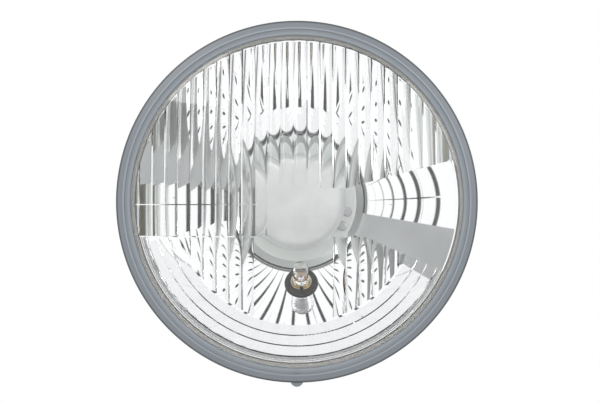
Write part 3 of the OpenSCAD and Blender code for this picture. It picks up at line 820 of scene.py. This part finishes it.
@dataclass
class SealRing:
    """The grey ring round the glass.

    Its sizes are in metres. The nub and the mark are at the bottom, on the ring's edge and face.
    """

    rim: RimSizes
    register_h: float = 5.0 * MM
    register_step: float = 0.9 * MM
    rear_lip_w: float = 3.8 * MM
    shoulder: float = 1.6 * MM
    band_drop: float = 0.9 * MM
    ridge_in: float = 4.0 * MM
    ridge_half: float = 0.45 * MM
    ridge_sunk: float = 0.1 * MM
    lip_round: float = 1.0 * MM
    lip_gap: float = 0.02 * MM
    nip: float = 0.25 * MM
    nub_w: float = 6.5 * MM
    nub_out: float = 2.0 * MM
    nub_h: float = 4.2 * MM
    nub_edge: float = 0.4 * MM
    nub_root: float = 1.0 * MM
    mark_w: float = 2.8 * MM
    mark_half: float = 0.6 * MM
    mark_rise: float = 0.4 * MM
    segments: int = 256

    @property
    def ridge_r(self) -> float:
        """Radius of the ridge on the face."""
        return self.rim.lamp_r - self.ridge_in

    def profile(self) -> list[Pair]:
        """Draws the ring's section.

        Returns:
            The section's points (radius, level).
        """
        rim, nip = self.rim, self.nip
        wall = rim.lamp_r - rim.ring_wall
        register = rim.lamp_r - self.register_step
        lip_in = rim.dome_r + self.lip_gap
        band_z = rim.ring_h - self.band_drop - self.shoulder
        return [
            (wall - self.rear_lip_w, nip), (wall - self.rear_lip_w + nip, 0.0),
            (register - nip, 0.0), (register, nip), (register, self.register_h),
            (rim.lamp_r, self.register_h + self.register_step),
            *arc(rim.lamp_r - self.shoulder, band_z, self.shoulder, 0, 70, 10),
            *arc(self.ridge_r, rim.ring_h - self.ridge_sunk, self.ridge_half, 0, 180, 10),
            *arc(lip_in + self.lip_round, rim.ring_h - self.lip_round, self.lip_round, 90, 180, 8),
            (lip_in, rim.rim_z), (wall, rim.rim_z), (wall, rim.rear_lip),
            (wall - self.rear_lip_w, rim.rear_lip),
        ]

    def nub(self) -> bpy.types.Object:
        """Makes the round-ended index nub.

        Returns:
            The nub, hollowed to fit round the ring.
        """
        low = self.register_h + self.register_step
        high = low + self.nub_h
        half, edge = self.nub_w / 2, self.nub_edge
        profile = [
            (0.0, low), (half - edge, low), (half, low + edge), (half, high - edge),
            (half - edge, high), (0.0, high),
        ]
        piece = lathe("nub", profile, 48)
        shift = to_row(np.array([[0.0, -(self.rim.lamp_r + self.nub_out - half), 0.0]]))[0]
        piece.data.transform(Matrix.Translation(Vector(shift)))
        outline = circle(self.rim.lamp_r - self.nub_root, self.segments)
        combine(piece, prism("nub_inner", outline, 0.0, 20.0 * MM), Cut.TAKE)
        return piece

    def mark(self) -> bpy.types.Object:
        """Makes the short index bar on the front lip.

        Returns:
            The bar.
        """
        middle = (self.rim.dome_r + self.ridge_r) / 2
        half_w, half_h, rise = self.mark_w / 2, self.mark_half, self.mark_rise
        outline = arc(half_w - half_h, -middle, half_h, -90, 90, 8)
        outline += arc(-half_w + half_h, -middle, half_h, 90, 270, 8)
        return prism("mark", outline, self.rim.ring_h - rise, self.rim.ring_h + rise)

    def build(self, shop: PaintShop) -> None:
        """Makes and dresses the ring.

        Args:
            shop: The materials.
        """
        ring = lathe("seal_ring_skin", self.profile(), self.segments, 50.0)
        combine(ring, self.nub(), Cut.JOIN)
        combine(ring, self.mark(), Cut.JOIN)
        smooth_by_angle(ring, 40.0)
        place(ring, "seal_ring", Finish.RING_RUBBER, shop)


@dataclass
class FlutedLens:
    """The moulded glass with its zones of flutes and ring prisms.

    Its sizes are in metres, and rise, fall and sweep are angles in degrees. A corner of the mesh
    within a near value of a true face, and with a direction that agrees, takes that face's direction.
    """

    rim: RimSizes
    dome_radius: float = 220.0 * MM
    glass_t: float = 4.7 * MM
    dome_edge: float = 0.6 * MM
    pitch: float = 6.3 * MM
    crest_r: float = 6.5 * MM
    shift: float = 1.5 * MM
    crest_gap: float = 0.15 * MM
    flat_from: float = 48.0 * MM
    flat_gain: float = 6.0
    land: float = 0.5 * MM
    seam_y: float = -1.4 * MM
    step_y: float = -16.9 * MM
    pad_top: float = 8.2 * MM
    rise: float = 14.6
    sector_corner: float = 33.2 * MM
    fall: float = 24.0
    prism_start: float = 59.4 * MM
    prism_pitch: float = 5.3 * MM
    prism_depth: float = 0.62 * MM
    prism_draft: float = 0.6 * MM
    zone_edge: float = 0.6 * MM
    rim_edge: float = 0.5 * MM
    sweep: float = 25.0
    arc_steps: int = 12
    sweep_steps: int = 110
    blank_steps: int = 56
    segments: int = 240
    front_near: float = 0.02 * MM
    back_near: float = 0.03 * MM
    front_agrees: float = 0.9
    back_agrees: float = 0.97
    flute_agrees: float = 0.99

    def cusp(self, k: int) -> float:
        """Place between two flutes."""
        return self.shift + (k - 0.5) * self.pitch

    @property
    def centre_z(self) -> float:
        """Level of the dome's centre."""
        foot = self.rim.rim_z + self.dome_edge
        return foot - math.sqrt(self.dome_radius ** 2 - self.rim.dome_r ** 2)

    @property
    def inner_radius(self) -> float:
        """Radius of the smooth inner face."""
        return self.dome_radius - self.glass_t

    def flute_r(self, x: Value) -> Value:
        """Radius of the flute at a distance from the middle, flatter towards the rim."""
        return self.crest_r * (1.0 + self.flat_gain * np.maximum(np.abs(x) / self.flat_from - 1.0, 0.0))

    def track(self, x: Value) -> Value:
        """Radius on which that flute's circle stands."""
        return self.inner_radius + self.crest_gap + self.flute_r(x)

    @property
    def zone_r(self) -> float:
        """Radius of the fluted field."""
        return self.rim.lens_mouth_r - self.zone_edge

    def inner_z(self, r: float) -> float:
        """Level of the smooth inner face at a radius."""
        return self.centre_z + math.sqrt(self.inner_radius ** 2 - r * r)

    def outer_z(self, r: float) -> float:
        """Level of the outer face at a radius."""
        return self.centre_z + math.sqrt(self.dome_radius ** 2 - r * r)

    def blank(self) -> bpy.types.Object:
        """Turns the plain lens: dome, rim and smooth hollow.

        Returns:
            The lens before its zones are cut.
        """
        rim, edge, steps = self.rim, self.rim_edge, self.blank_steps
        outer = [(r, self.outer_z(r)) for r in np.linspace(0.0, rim.dome_r, steps)]
        inner = [(r, self.inner_z(r)) for r in np.linspace(rim.lens_mouth_r, 0.0, steps)]
        profile = [
            *outer, (rim.dome_r, rim.rim_z),
            (rim.glass_r - edge, rim.rim_z), (rim.glass_r, rim.rim_z - edge),
            (rim.glass_r, rim.glass_z + edge), (rim.glass_r - edge, rim.glass_z),
            (rim.lens_mouth_r, rim.glass_z), *inner,
        ]
        return lathe("lens_body", profile, self.segments, 30.0)

    def flute_line(self) -> list[Pair]:
        """Draws the scalloped line of the flutes.

        Returns:
            Its points (distance from the turning axis, x).
        """
        line: list[Pair] = []
        reach = math.ceil(self.rim.lens_mouth_r / self.pitch) + 1
        for k in range(-reach, reach + 1):
            x = self.shift + k * self.pitch
            crest = float(self.flute_r(x))
            centre = math.sqrt(float(self.track(x)) ** 2 - x * x)
            for i in range(self.arc_steps + 1):
                across = -self.pitch / 2 + self.pitch * i / self.arc_steps
                point = (centre - math.sqrt(crest ** 2 - across ** 2), x + across)
                if not line or point[1] > line[-1][1]:
                    line.append(point)
        return line

    def flute_air(self) -> bpy.types.Object:
        """Makes the air behind the flutes, swept round a line through the dome's centre.

        Returns:
            The closed cutter.
        """
        line = self.flute_line()
        floor = self.rim.glass_z - self.centre_z - 3 * MARGIN
        loop = [(floor, line[0][1]), *line, (floor, line[-1][1])]
        turns = np.radians(np.linspace(-self.sweep, self.sweep, self.sweep_steps + 1))
        points = [
            (x, radius * math.sin(t), self.centre_z + radius * math.cos(t))
            for t in turns for radius, x in loop
        ]
        count = len(loop)
        last = len(points) - 1
        faces = [tuple(range(count)), tuple(range(last, last - count, -1))]
        for s in range(self.sweep_steps):
            a, b = s * count, (s + 1) * count
            faces += [(a + k, b + k, b + (k + 1) % count, a + (k + 1) % count) for k in range(count)]
        piece = link_mesh("flute_air", np.array(points), faces)
        face_outwards(piece)
        return piece

    def prism_air(self) -> bpy.types.Object:
        """Makes the air behind the ring prisms.

        Returns:
            The closed cutter.
        """
        low = self.rim.glass_z - MARGIN
        edges = [*np.arange(self.prism_start, self.zone_r - MARGIN, self.prism_pitch), self.zone_r]
        profile: list[Pair] = [(edges[0], low)]
        for near, far in zip(edges, edges[1:]):
            start, end = self.inner_z(near) + self.prism_depth, self.inner_z(far) + self.crest_gap
            first = near + self.prism_draft
            for s in (0.0, 0.25, 0.5, 0.75, 1.0):
                profile.append((first + (far - first) * s, start + (end - start) * s))
        profile.append((self.zone_r, low))
        return lathe("prism_air", profile, self.segments)

    def fall_y(self, x: float) -> float:
        """Height of the smooth sector's lower edge."""
        return self.step_y - (x - self.sector_corner) * math.tan(math.radians(self.fall))

    def flute_zones(self) -> list[tuple[list[Pair], float]]:
        """Draws the zones of flutes: upper, middle, lower left and lower right.

        Returns:
            Each zone's straight outline and the radius that ends it.
        """
        far, half = self.rim.lamp_r, self.land / 2
        end, left, middle, start, right = (self.cusp(k) for k in (-3, -2, 2, 3, 4))
        slope = math.tan(math.radians(self.rise))
        flutes_r = self.prism_start - self.land
        upper = [
            (-far, self.seam_y + half), (left - half, self.seam_y + half),
            (left - half, self.pad_top + half), (middle + half, self.pad_top + half),
            (middle + half, right * slope + self.land), (right + half, right * slope + self.land),
            (far, far * slope + self.land), (far, far), (-far, far),
        ]
        beside_pad = [
            (-far, self.step_y + half), (left - half, self.step_y + half),
            (left - half, self.seam_y - half), (-far, self.seam_y - half),
        ]
        lower_left = [
            (-far, -far), (end - half, -far),
            (end - half, self.step_y - half), (-far, self.step_y - half),
        ]
        lower_right = [
            (start + half, -far), (far, -far), (far, self.fall_y(far) - half),
            (self.sector_corner, self.step_y - half), (start + half, self.step_y - half),
        ]
        return [
            (upper, self.zone_r), (beside_pad, self.zone_r),
            (lower_left, flutes_r), (lower_right, flutes_r),
        ]

    def prism_zone(self) -> list[Pair]:
        """Draws everything under the step line, where the ring prisms are.

        Returns:
            The zone's straight outline.
        """
        far, half = self.rim.lamp_r, self.land / 2
        return [
            (-far, -far), (far, -far), (far, self.fall_y(far) - half),
            (self.sector_corner, self.step_y - half), (-far, self.step_y - half),
        ]

    def seam_air(self) -> bpy.types.Object:
        """Makes the shallow groove that carries the seam across the smooth sector.

        Returns:
            The closed cutter.
        """
        radius, start = self.inner_radius + self.crest_gap, self.cusp(4)
        low = self.rim.glass_z
        steps = np.linspace(start, self.zone_r, 40)
        skin = [(r, self.centre_z + math.sqrt(radius ** 2 - r * r)) for r in steps]
        ring = lathe("seam_air", [(start, low), (self.zone_r, low), *reversed(skin)], self.segments)
        half, near, far = self.land / 4, start - 2 * MARGIN, self.rim.lamp_r
        strip = [
            (near, self.seam_y - half), (far, self.seam_y - half),
            (far, self.seam_y + half), (near, self.seam_y + half),
        ]
        combine(ring, prism("seam_strip", strip, low - MARGIN, self.outer_z(0.0)), Cut.MEET)
        return ring

    def zone_tool(self, outline: list[Pair], radius: float) -> bpy.types.Object:
        """Raises a zone's outline, cut to a radius.

        Args:
            outline: The zone's straight outline.
            radius: The radius that ends it.

        Returns:
            The closed tool.
        """
        low, high = self.rim.glass_z - MARGIN / 2, self.outer_z(0.0) + 2 * MARGIN
        tool = prism("zone", outline, low, high)
        disc = prism("zone_disc", circle(radius, self.segments), low - MARGIN, high + MARGIN)
        combine(tool, disc, Cut.MEET)
        return tool

    def normals(self, points: np.ndarray, flat: np.ndarray) -> np.ndarray:
        """Works out true surface directions, so that light bends as in the real glass.

        Args:
            points: Corner points in lamp directions.
            flat: The face direction at each corner.

        Returns:
            The direction for each corner.
        """
        centre = np.array([0.0, 0.0, self.centre_z])
        out = points - centre
        dist = np.linalg.norm(out, axis=1)
        out /= dist[:, None]
        agrees = agreement(out, flat)
        result = flat.copy()
        front = (np.abs(dist - self.dome_radius) < self.front_near) & (agrees > self.front_agrees)
        result[front] = out[front]
        back = (np.abs(dist - self.inner_radius) < self.back_near) & (agrees < -self.back_agrees)
        result[back] = -out[back]
        rho = np.hypot(points[:, 1], points[:, 2] - self.centre_z)
        index = np.round((points[:, 0] - self.shift) / self.pitch)
        for nudge in (0, -1, 1):
            x = self.shift + (index + nudge) * self.pitch
            stand = np.sqrt(self.track(x) ** 2 - x * x)
            d_rho, d_x = rho - stand, points[:, 0] - x
            length = np.hypot(d_rho, d_x)
            radial = d_rho / length
            guess = np.stack([
                d_x / length, radial * points[:, 1] / rho, radial * (points[:, 2] - self.centre_z) / rho
            ], axis=1)
            near = np.abs(length - self.flute_r(x)) < self.back_near
            fits = near & (agreement(guess, flat) > self.flute_agrees)
            result[fits] = guess[fits]
        return result

    def build(self, shop: PaintShop) -> None:
        """Cuts the zones out of the blank and dresses the lens.

        Args:
            shop: The materials.
        """
        lens = self.blank()
        flutes = self.flute_air()
        for outline, radius in self.flute_zones():
            zone = self.zone_tool(outline, radius)
            combine(zone, flutes, Cut.MEET, keep_tool=True)
            combine(lens, zone, Cut.TAKE)
        bpy.data.objects.remove(flutes)
        rings = self.prism_air()
        combine(rings, self.zone_tool(self.prism_zone(), self.rim.lamp_r), Cut.MEET)
        combine(lens, rings, Cut.TAKE)
        combine(lens, self.seam_air(), Cut.TAKE)
        set_normals(lens, self.normals)
        place(lens, "lens", Finish.LENS_GLASS, shop)


@dataclass
class Mirror:
    """The pressed mirror with its rim flange, plateau and holes.

    Its sizes are in metres, side_angle is in degrees, and rib_sunk is a share of the sheet.
    """

    rim: RimSizes
    focal: float = 26.0 * MM
    plateau_r: float = 30.8 * MM
    rib_centre: float = 35.6 * MM
    rib_r: float = 0.2 * MM
    hole_r: float = 20.0 * MM
    side_r: float = 42.0 * MM
    side_angle: float = -87.0
    side_hole_r: float = 7.5 * MM
    rib_sunk: float = 0.2
    rib_stop: float = 2.0 * MM
    mouth_bend: float = 0.45 * MM
    sheet_bend: float = 0.6 * MM
    plateau_bend: float = 0.2 * MM
    plug_half: float = 6.0 * MM
    steps: int = 110
    segments: int = 288
    near: float = 0.03 * MM
    face_from: float = -0.01 * MM
    rear_from: float = 0.3 * MM
    agrees: float = 0.995

    def height(self, r: Value) -> Value:
        """Level of the mirror's face at a radius."""
        return self.rim.flange_z + (r * r - self.rim.mouth_r ** 2) / (4 * self.focal)

    def tilt(self, r: float) -> float:
        """Slope angle of the mirror's face at a radius, in radians."""
        return math.atan(r / (2 * self.focal))

    @property
    def plateau_z(self) -> float:
        """Level of the plateau's front face."""
        return self.height(self.plateau_r)

    def side_matrix(self) -> Matrix:
        """Works out the place of the parking lamp, square to the mirror.

        Returns:
            Its frame in the row frame.
        """
        lean = self.tilt(self.side_r)
        local = (
            Matrix.Rotation(math.radians(self.side_angle), 4, "Z")
            @ Matrix.Translation((self.side_r, 0.0, self.height(self.side_r)))
            @ Matrix.Rotation(-lean, 4, "Y")
        )
        return Matrix.Rotation(math.radians(90.0), 4, "X") @ local

    def profile(self) -> list[Pair]:
        """Draws the mirror's section: front face out, rear face back.

        Returns:
            The section's points (radius, level).
        """
        rim, sheet, steps = self.rim, self.rim.sheet, self.steps
        front = [(r, self.height(r)) for r in np.linspace(self.plateau_r, rim.mouth_r, steps)]
        rear_r = np.linspace(rim.mouth_r - self.mouth_bend, self.plateau_r + self.sheet_bend, steps)
        rear = [
            (r + sheet * math.sin(self.tilt(r)), self.height(r) - sheet * math.cos(self.tilt(r)))
            for r in rear_r
        ]
        return [
            (self.hole_r, self.plateau_z - sheet), (self.hole_r, self.plateau_z), *front,
            (rim.glass_r, rim.flange_z), (rim.glass_r, rim.rear_lip),
            (rim.mouth_r + self.sheet_bend, rim.rear_lip), *rear,
            (self.plateau_r + self.plateau_bend, self.plateau_z - sheet),
        ]

    def normals(self, points: np.ndarray, flat: np.ndarray) -> np.ndarray:
        """Gives the mirror's face its true paraboloid directions.

        Args:
            points: Corner points in lamp directions.
            flat: The face direction at each corner.

        Returns:
            The direction for each corner.
        """
        r = np.hypot(points[:, 0], points[:, 1])
        slope = r / (2 * self.focal)
        guess = np.stack([-slope * points[:, 0] / r, -slope * points[:, 1] / r, np.ones_like(r)], axis=1)
        guess /= np.linalg.norm(guess, axis=1)[:, None]
        agrees = agreement(guess, flat)
        off = np.abs(points[:, 2] - self.height(r))
        on_face = (off < self.near) & (r > self.plateau_r + self.face_from)
        front = on_face & (agrees > self.agrees)
        behind = (agrees < -self.agrees) & (r > self.plateau_r + self.rear_from)
        result = flat.copy()
        result[front] = guess[front]
        result[behind] = -guess[behind]
        return result

    def side_plug(self, radius: float) -> bpy.types.Object:
        """Makes a round cutter square to the mirror at the parking lamp.

        Args:
            radius: The cutter's radius.

        Returns:
            The closed cutter.
        """
        depth = self.plug_half
        cutter = lathe("side_cut", [(0.0, -depth), (radius, -depth), (radius, depth), (0.0, depth)], 96)
        cutter.data.transform(self.side_matrix() @ Matrix.Rotation(math.radians(-90.0), 4, "X"))
        return cutter

    def build(self, shop: PaintShop) -> None:
        """Turns the mirror, adds its rib, cuts its side hole and dresses it.

        Args:
            shop: The materials.
        """
        bowl = lathe("mirror_bowl", self.profile(), self.segments)
        level = self.height(self.rib_centre) - self.rib_sunk * self.rim.sheet
        rib = lathe("rib", circle(self.rib_r, 24, self.rib_centre, level), self.segments)
        combine(rib, self.side_plug(self.side_hole_r + self.rib_stop), Cut.TAKE)
        combine(bowl, rib, Cut.JOIN)
        combine(bowl, self.side_plug(self.side_hole_r), Cut.TAKE)
        set_normals(bowl, self.normals)
        place(bowl, "reflector", Finish.MIRROR_COAT, shop)


@dataclass
class SealingBead:
    """The pale sealing bead between the glass rim and the mirror's flange."""

    rim: RimSizes
    inset: float = 0.3 * MM
    inner: float = 0.9 * MM
    gap: float = 0.03 * MM
    segments: int = 240

    def build(self, shop: PaintShop) -> None:
        """Turns the bead with its bulged inner side and dresses it.

        Args:
            shop: The materials.
        """
        rim = self.rim
        low, high = rim.flange_z + self.gap, rim.glass_z - self.gap
        half = (high - low) / 2
        outer = rim.glass_r - self.inset
        bulge = arc(rim.lens_mouth_r + self.inner, low + half, half, 90, 270, 10)
        bead = lathe("bead", [(outer, low), (outer, high), *bulge], self.segments, 40.0)
        place(bead, "sealing_bead", Finish.SILICONE, shop)


@dataclass(frozen=True)
class SoftLamp:
    """One soft lamp that points at the object."""

    name: str
    spot: Triple
    width: float
    height: float
    watts: float

    def hang(self) -> None:
        """Makes the lamp and hangs it."""
        data = bpy.data.lights.new(self.name, "AREA")
        data.shape = "RECTANGLE"
        data.size = self.width
        data.size_y = self.height
        data.energy = self.watts
        light = bpy.data.objects.new(self.name, data)
        light.location = self.spot
        light.rotation_euler = (-Vector(self.spot)).to_track_quat("-Z", "Y").to_euler()
        bpy.context.scene.collection.objects.link(light)


@dataclass
class Studio:
    """Floor, backdrop, lights and camera.

    Places and sizes are in metres, but for the sensor in millimetres and the picture in pixels.
    The card is full black out to flag_core of its radius, for rays deeper than flag_depth.
    """

    floor_z: float = -0.135
    floor_half: float = 6.0
    floor_near: float = 0.15
    floor_far: float = 0.32
    floor_glow: float = 0.5
    soft: float = 0.62
    white: float = 1.0
    distance: float = 0.95
    sharp_plane: float = 7.0 * MM
    pixel: float = 178.0 * MM / 361.0
    centre_px: Pair = (296.9, 201.7)
    image_px: Pair = (600.0, 402.0)
    sensor: float = 36.0
    flag_r: float = 0.078
    flag_core: float = 0.45
    flag_depth: float = 4.5
    flag_behind: float = 0.03
    flag_sides: int = 48
    lamps: tuple[SoftLamp, ...] = (
        SoftLamp("front", (0.0, -1.9, 0.15), width=2.6, height=1.5, watts=1.8),
        SoftLamp("key", (-0.9, -1.0, 1.1), width=0.7, height=0.7, watts=8.0),
        SoftLamp("fill", (1.1, -1.0, 0.6), width=0.7, height=0.7, watts=5.0),
    )

    def camera(self) -> None:
        """Places the camera straight in front of the glass."""
        data = bpy.data.cameras.new("camera")
        data.sensor_width = self.sensor
        reach = self.distance - self.sharp_plane
        data.lens = data.sensor_width * reach / (self.image_px[0] * self.pixel)
        data.clip_end = 30.0
        camera = bpy.data.objects.new("camera", data)
        right = (self.image_px[0] / 2 - self.centre_px[0]) * self.pixel
        up = (self.centre_px[1] - self.image_px[1] / 2) * self.pixel
        camera.location = (right, -self.distance, up)
        camera.rotation_euler = (math.radians(90.0), 0.0, 0.0)
        bpy.context.scene.collection.objects.link(camera)
        bpy.context.scene.camera = camera

    def world(self) -> None:
        """Lights the object softly and shows white to what looks at the backdrop."""
        world = bpy.data.worlds.new("studio")
        world.use_nodes = True
        tree = world.node_tree
        tree.nodes.clear()
        path = add(tree, "LightPath")
        seen = add(tree, "Math", operation="MAXIMUM")
        also = add(tree, "Math", operation="MAXIMUM")
        soft = add(tree, "Background", {"Color": (0.95, 0.97, 1.0, 1.0), "Strength": self.soft})
        white = add(tree, "Background", {"Color": (1.0, 1.0, 1.0, 1.0), "Strength": self.white})
        mix = add(tree, "MixShader")
        wire(path, "Is Camera Ray", seen, 0)
        wire(path, "Is Glossy Ray", seen, 1)
        wire(seen, 0, also, 0)
        wire(path, "Is Transmission Ray", also, 1)
        wire(also, 0, mix, "Fac")
        wire(soft, 0, mix, 1)
        wire(white, 0, mix, 2)
        wire(mix, 0, add(tree, "OutputWorld"), "Surface")
        bpy.context.scene.world = world

    def prop(self, name: str, corners: list[Triple], material: bpy.types.Material) -> bpy.types.Object:
        """Makes a flat studio piece that isn't part of the lamp.

        Args:
            name: The piece's name.
            corners: Its corners in order.
            material: Its material.

        Returns:
            The linked piece.
        """
        mesh = bpy.data.meshes.new(name)
        mesh.from_pydata(corners, [], [tuple(range(len(corners)))])
        mesh.materials.append(material)
        piece = bpy.data.objects.new(name, mesh)
        bpy.context.scene.collection.objects.link(piece)
        return piece

    def flag(self) -> None:
        """Hangs the small round black card behind the camera, which the mirror shows.

        Its edge is soft, and it shows only to light that has passed the glass and the mirror.
        """
        spot = self.distance + self.flag_behind
        material, tree, shader = new_material(
            "black_card", {"Base Color": (0.02, 0.02, 0.02, 1.0), "Roughness": 0.9})
        coords = add(tree, "TexCoord")
        away = add(tree, "VectorMath", {1: (0.0, -spot, 0.0)}, operation="DISTANCE")
        fade = add(tree, "MapRange", interpolation_type="SMOOTHSTEP", values={
            "From Min": self.flag_r * self.flag_core, "From Max": self.flag_r,
            "To Min": 1.0, "To Max": 0.0})
        path = add(tree, "LightPath")
        deep = add(tree, "Math", {1: self.flag_depth}, operation="GREATER_THAN")
        cover = add(tree, "Math", operation="MULTIPLY")
        wire(coords, "Object", away, 0)
        wire(away, "Value", fade, "Value")
        wire(path, "Ray Depth", deep, 0)
        wire(fade, "Result", cover, 0)
        wire(deep, 0, cover, 1)
        wire(cover, 0, shader, "Alpha")
        turns = np.linspace(0.0, 2.0 * math.pi, self.flag_sides, endpoint=False)
        edge = [(self.flag_r * math.cos(t), -spot, self.flag_r * math.sin(t)) for t in turns]
        card = self.prop("flag", edge, material)
        card.visible_camera = False

    def floor(self) -> None:
        """Lays the pale floor that keeps the object's shadow."""
        material, tree, shader = new_material(
            "pale_floor", {"Base Color": (0.86, 0.86, 0.86, 1.0), "Roughness": 0.8})
        glow = add(tree, "Emission")
        coords = add(tree, "TexCoord")
        length = add(tree, "VectorMath", operation="LENGTH")
        fade = add(tree, "MapRange", {
            "From Min": self.floor_near, "From Max": self.floor_far, "To Min": self.floor_glow})
        mix = add(tree, "MixShader")
        wire(coords, "Object", length, 0)
        wire(length, "Value", fade, "Value")
        wire(fade, "Result", mix, "Fac")
        wire(shader, 0, mix, 1)
        wire(glow, 0, mix, 2)
        wire(mix, 0, tree.nodes["Material Output"], "Surface")
        half = self.floor_half
        corners = [(-half, -half), (half, -half), (half, half), (-half, half)]
        floor = self.prop("floor", [(x, y, self.floor_z) for x, y in corners], material)

    def build(self) -> None:
        """Sets up the whole studio."""
        self.camera()
        self.world()
        for lamp in self.lamps:
            lamp.hang()
        self.flag()
        self.floor()
        scene = bpy.context.scene
        scene.view_settings.view_transform = "Standard"
        scene.cycles.max_bounces = 24
        scene.cycles.glossy_bounces = 10
        scene.cycles.transmission_bounces = 20
        scene.cycles.diffuse_bounces = 4


# Inner pieces of the bulb that reflections leave out
UNLIT_IN_MIRROR = ("bulb_glass", "dip_shield", "low_filament", "high_filament", "bulb_supports")

# Finish of each CAD node that stays as it is
PLAIN_NODES: dict[str, Finish] = {
    "glare_shield": Finish.SHIELD_SHEET,
    "shield_rivets": Finish.RIVET_STEEL,
    "bulb_carrier": Finish.ZINC_SHEET,
    "bulb_clip": Finish.SPRING_WIRE,
    "boot": Finish.BOOT_RUBBER,
    "bulb_disc": Finish.BULB_STEEL,
    "bulb_cap": Finish.BULB_STEEL,
    "bulb_glass": Finish.BULB_GLASS,
    "dip_shield": Finish.LEAD_METAL,
    "low_filament": Finish.TUNGSTEN,
    "high_filament": Finish.TUNGSTEN,
    "bulb_supports": Finish.LEAD_METAL,
    "bulb_insulator": Finish.BASE_PLASTIC,
    "terminal_low": Finish.TINNED_BRASS,
    "terminal_high": Finish.TINNED_BRASS,
    "terminal_earth": Finish.TINNED_BRASS,
    "side_grommet": Finish.GROMMET_RUBBER,
    "side_socket": Finish.ZINC_SHEET,
    "side_bulb_cap": Finish.CAP_BRASS,
    "side_bulb_glass": Finish.BULB_GLASS,
    "side_filament": Finish.TUNGSTEN,
    "side_contact": Finish.CAP_BRASS,
    "side_insulator": Finish.BROWN_BOARD,
    "side_terminal": Finish.TINNED_BRASS,
}


def main() -> None:
    """Builds the lamp's pieces in order, then the studio."""
    logging.basicConfig(level=logging.INFO, format="%(message)s")
    shop = PaintShop()
    rim = RimSizes()
    for node, finish in PLAIN_NODES.items():
        shop.coat_node(node, finish)
        LOG.info("%s is coated with %s", node, finish.value)
    for node in UNLIT_IN_MIRROR:
        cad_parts[node].visible_glossy = False
    SealRing(rim).build(shop)
    FlutedLens(rim).build(shop)
    Mirror(rim).build(shop)
    SealingBead(rim).build(shop)
    Studio().build()


if __name__ == "__main__":
    main()
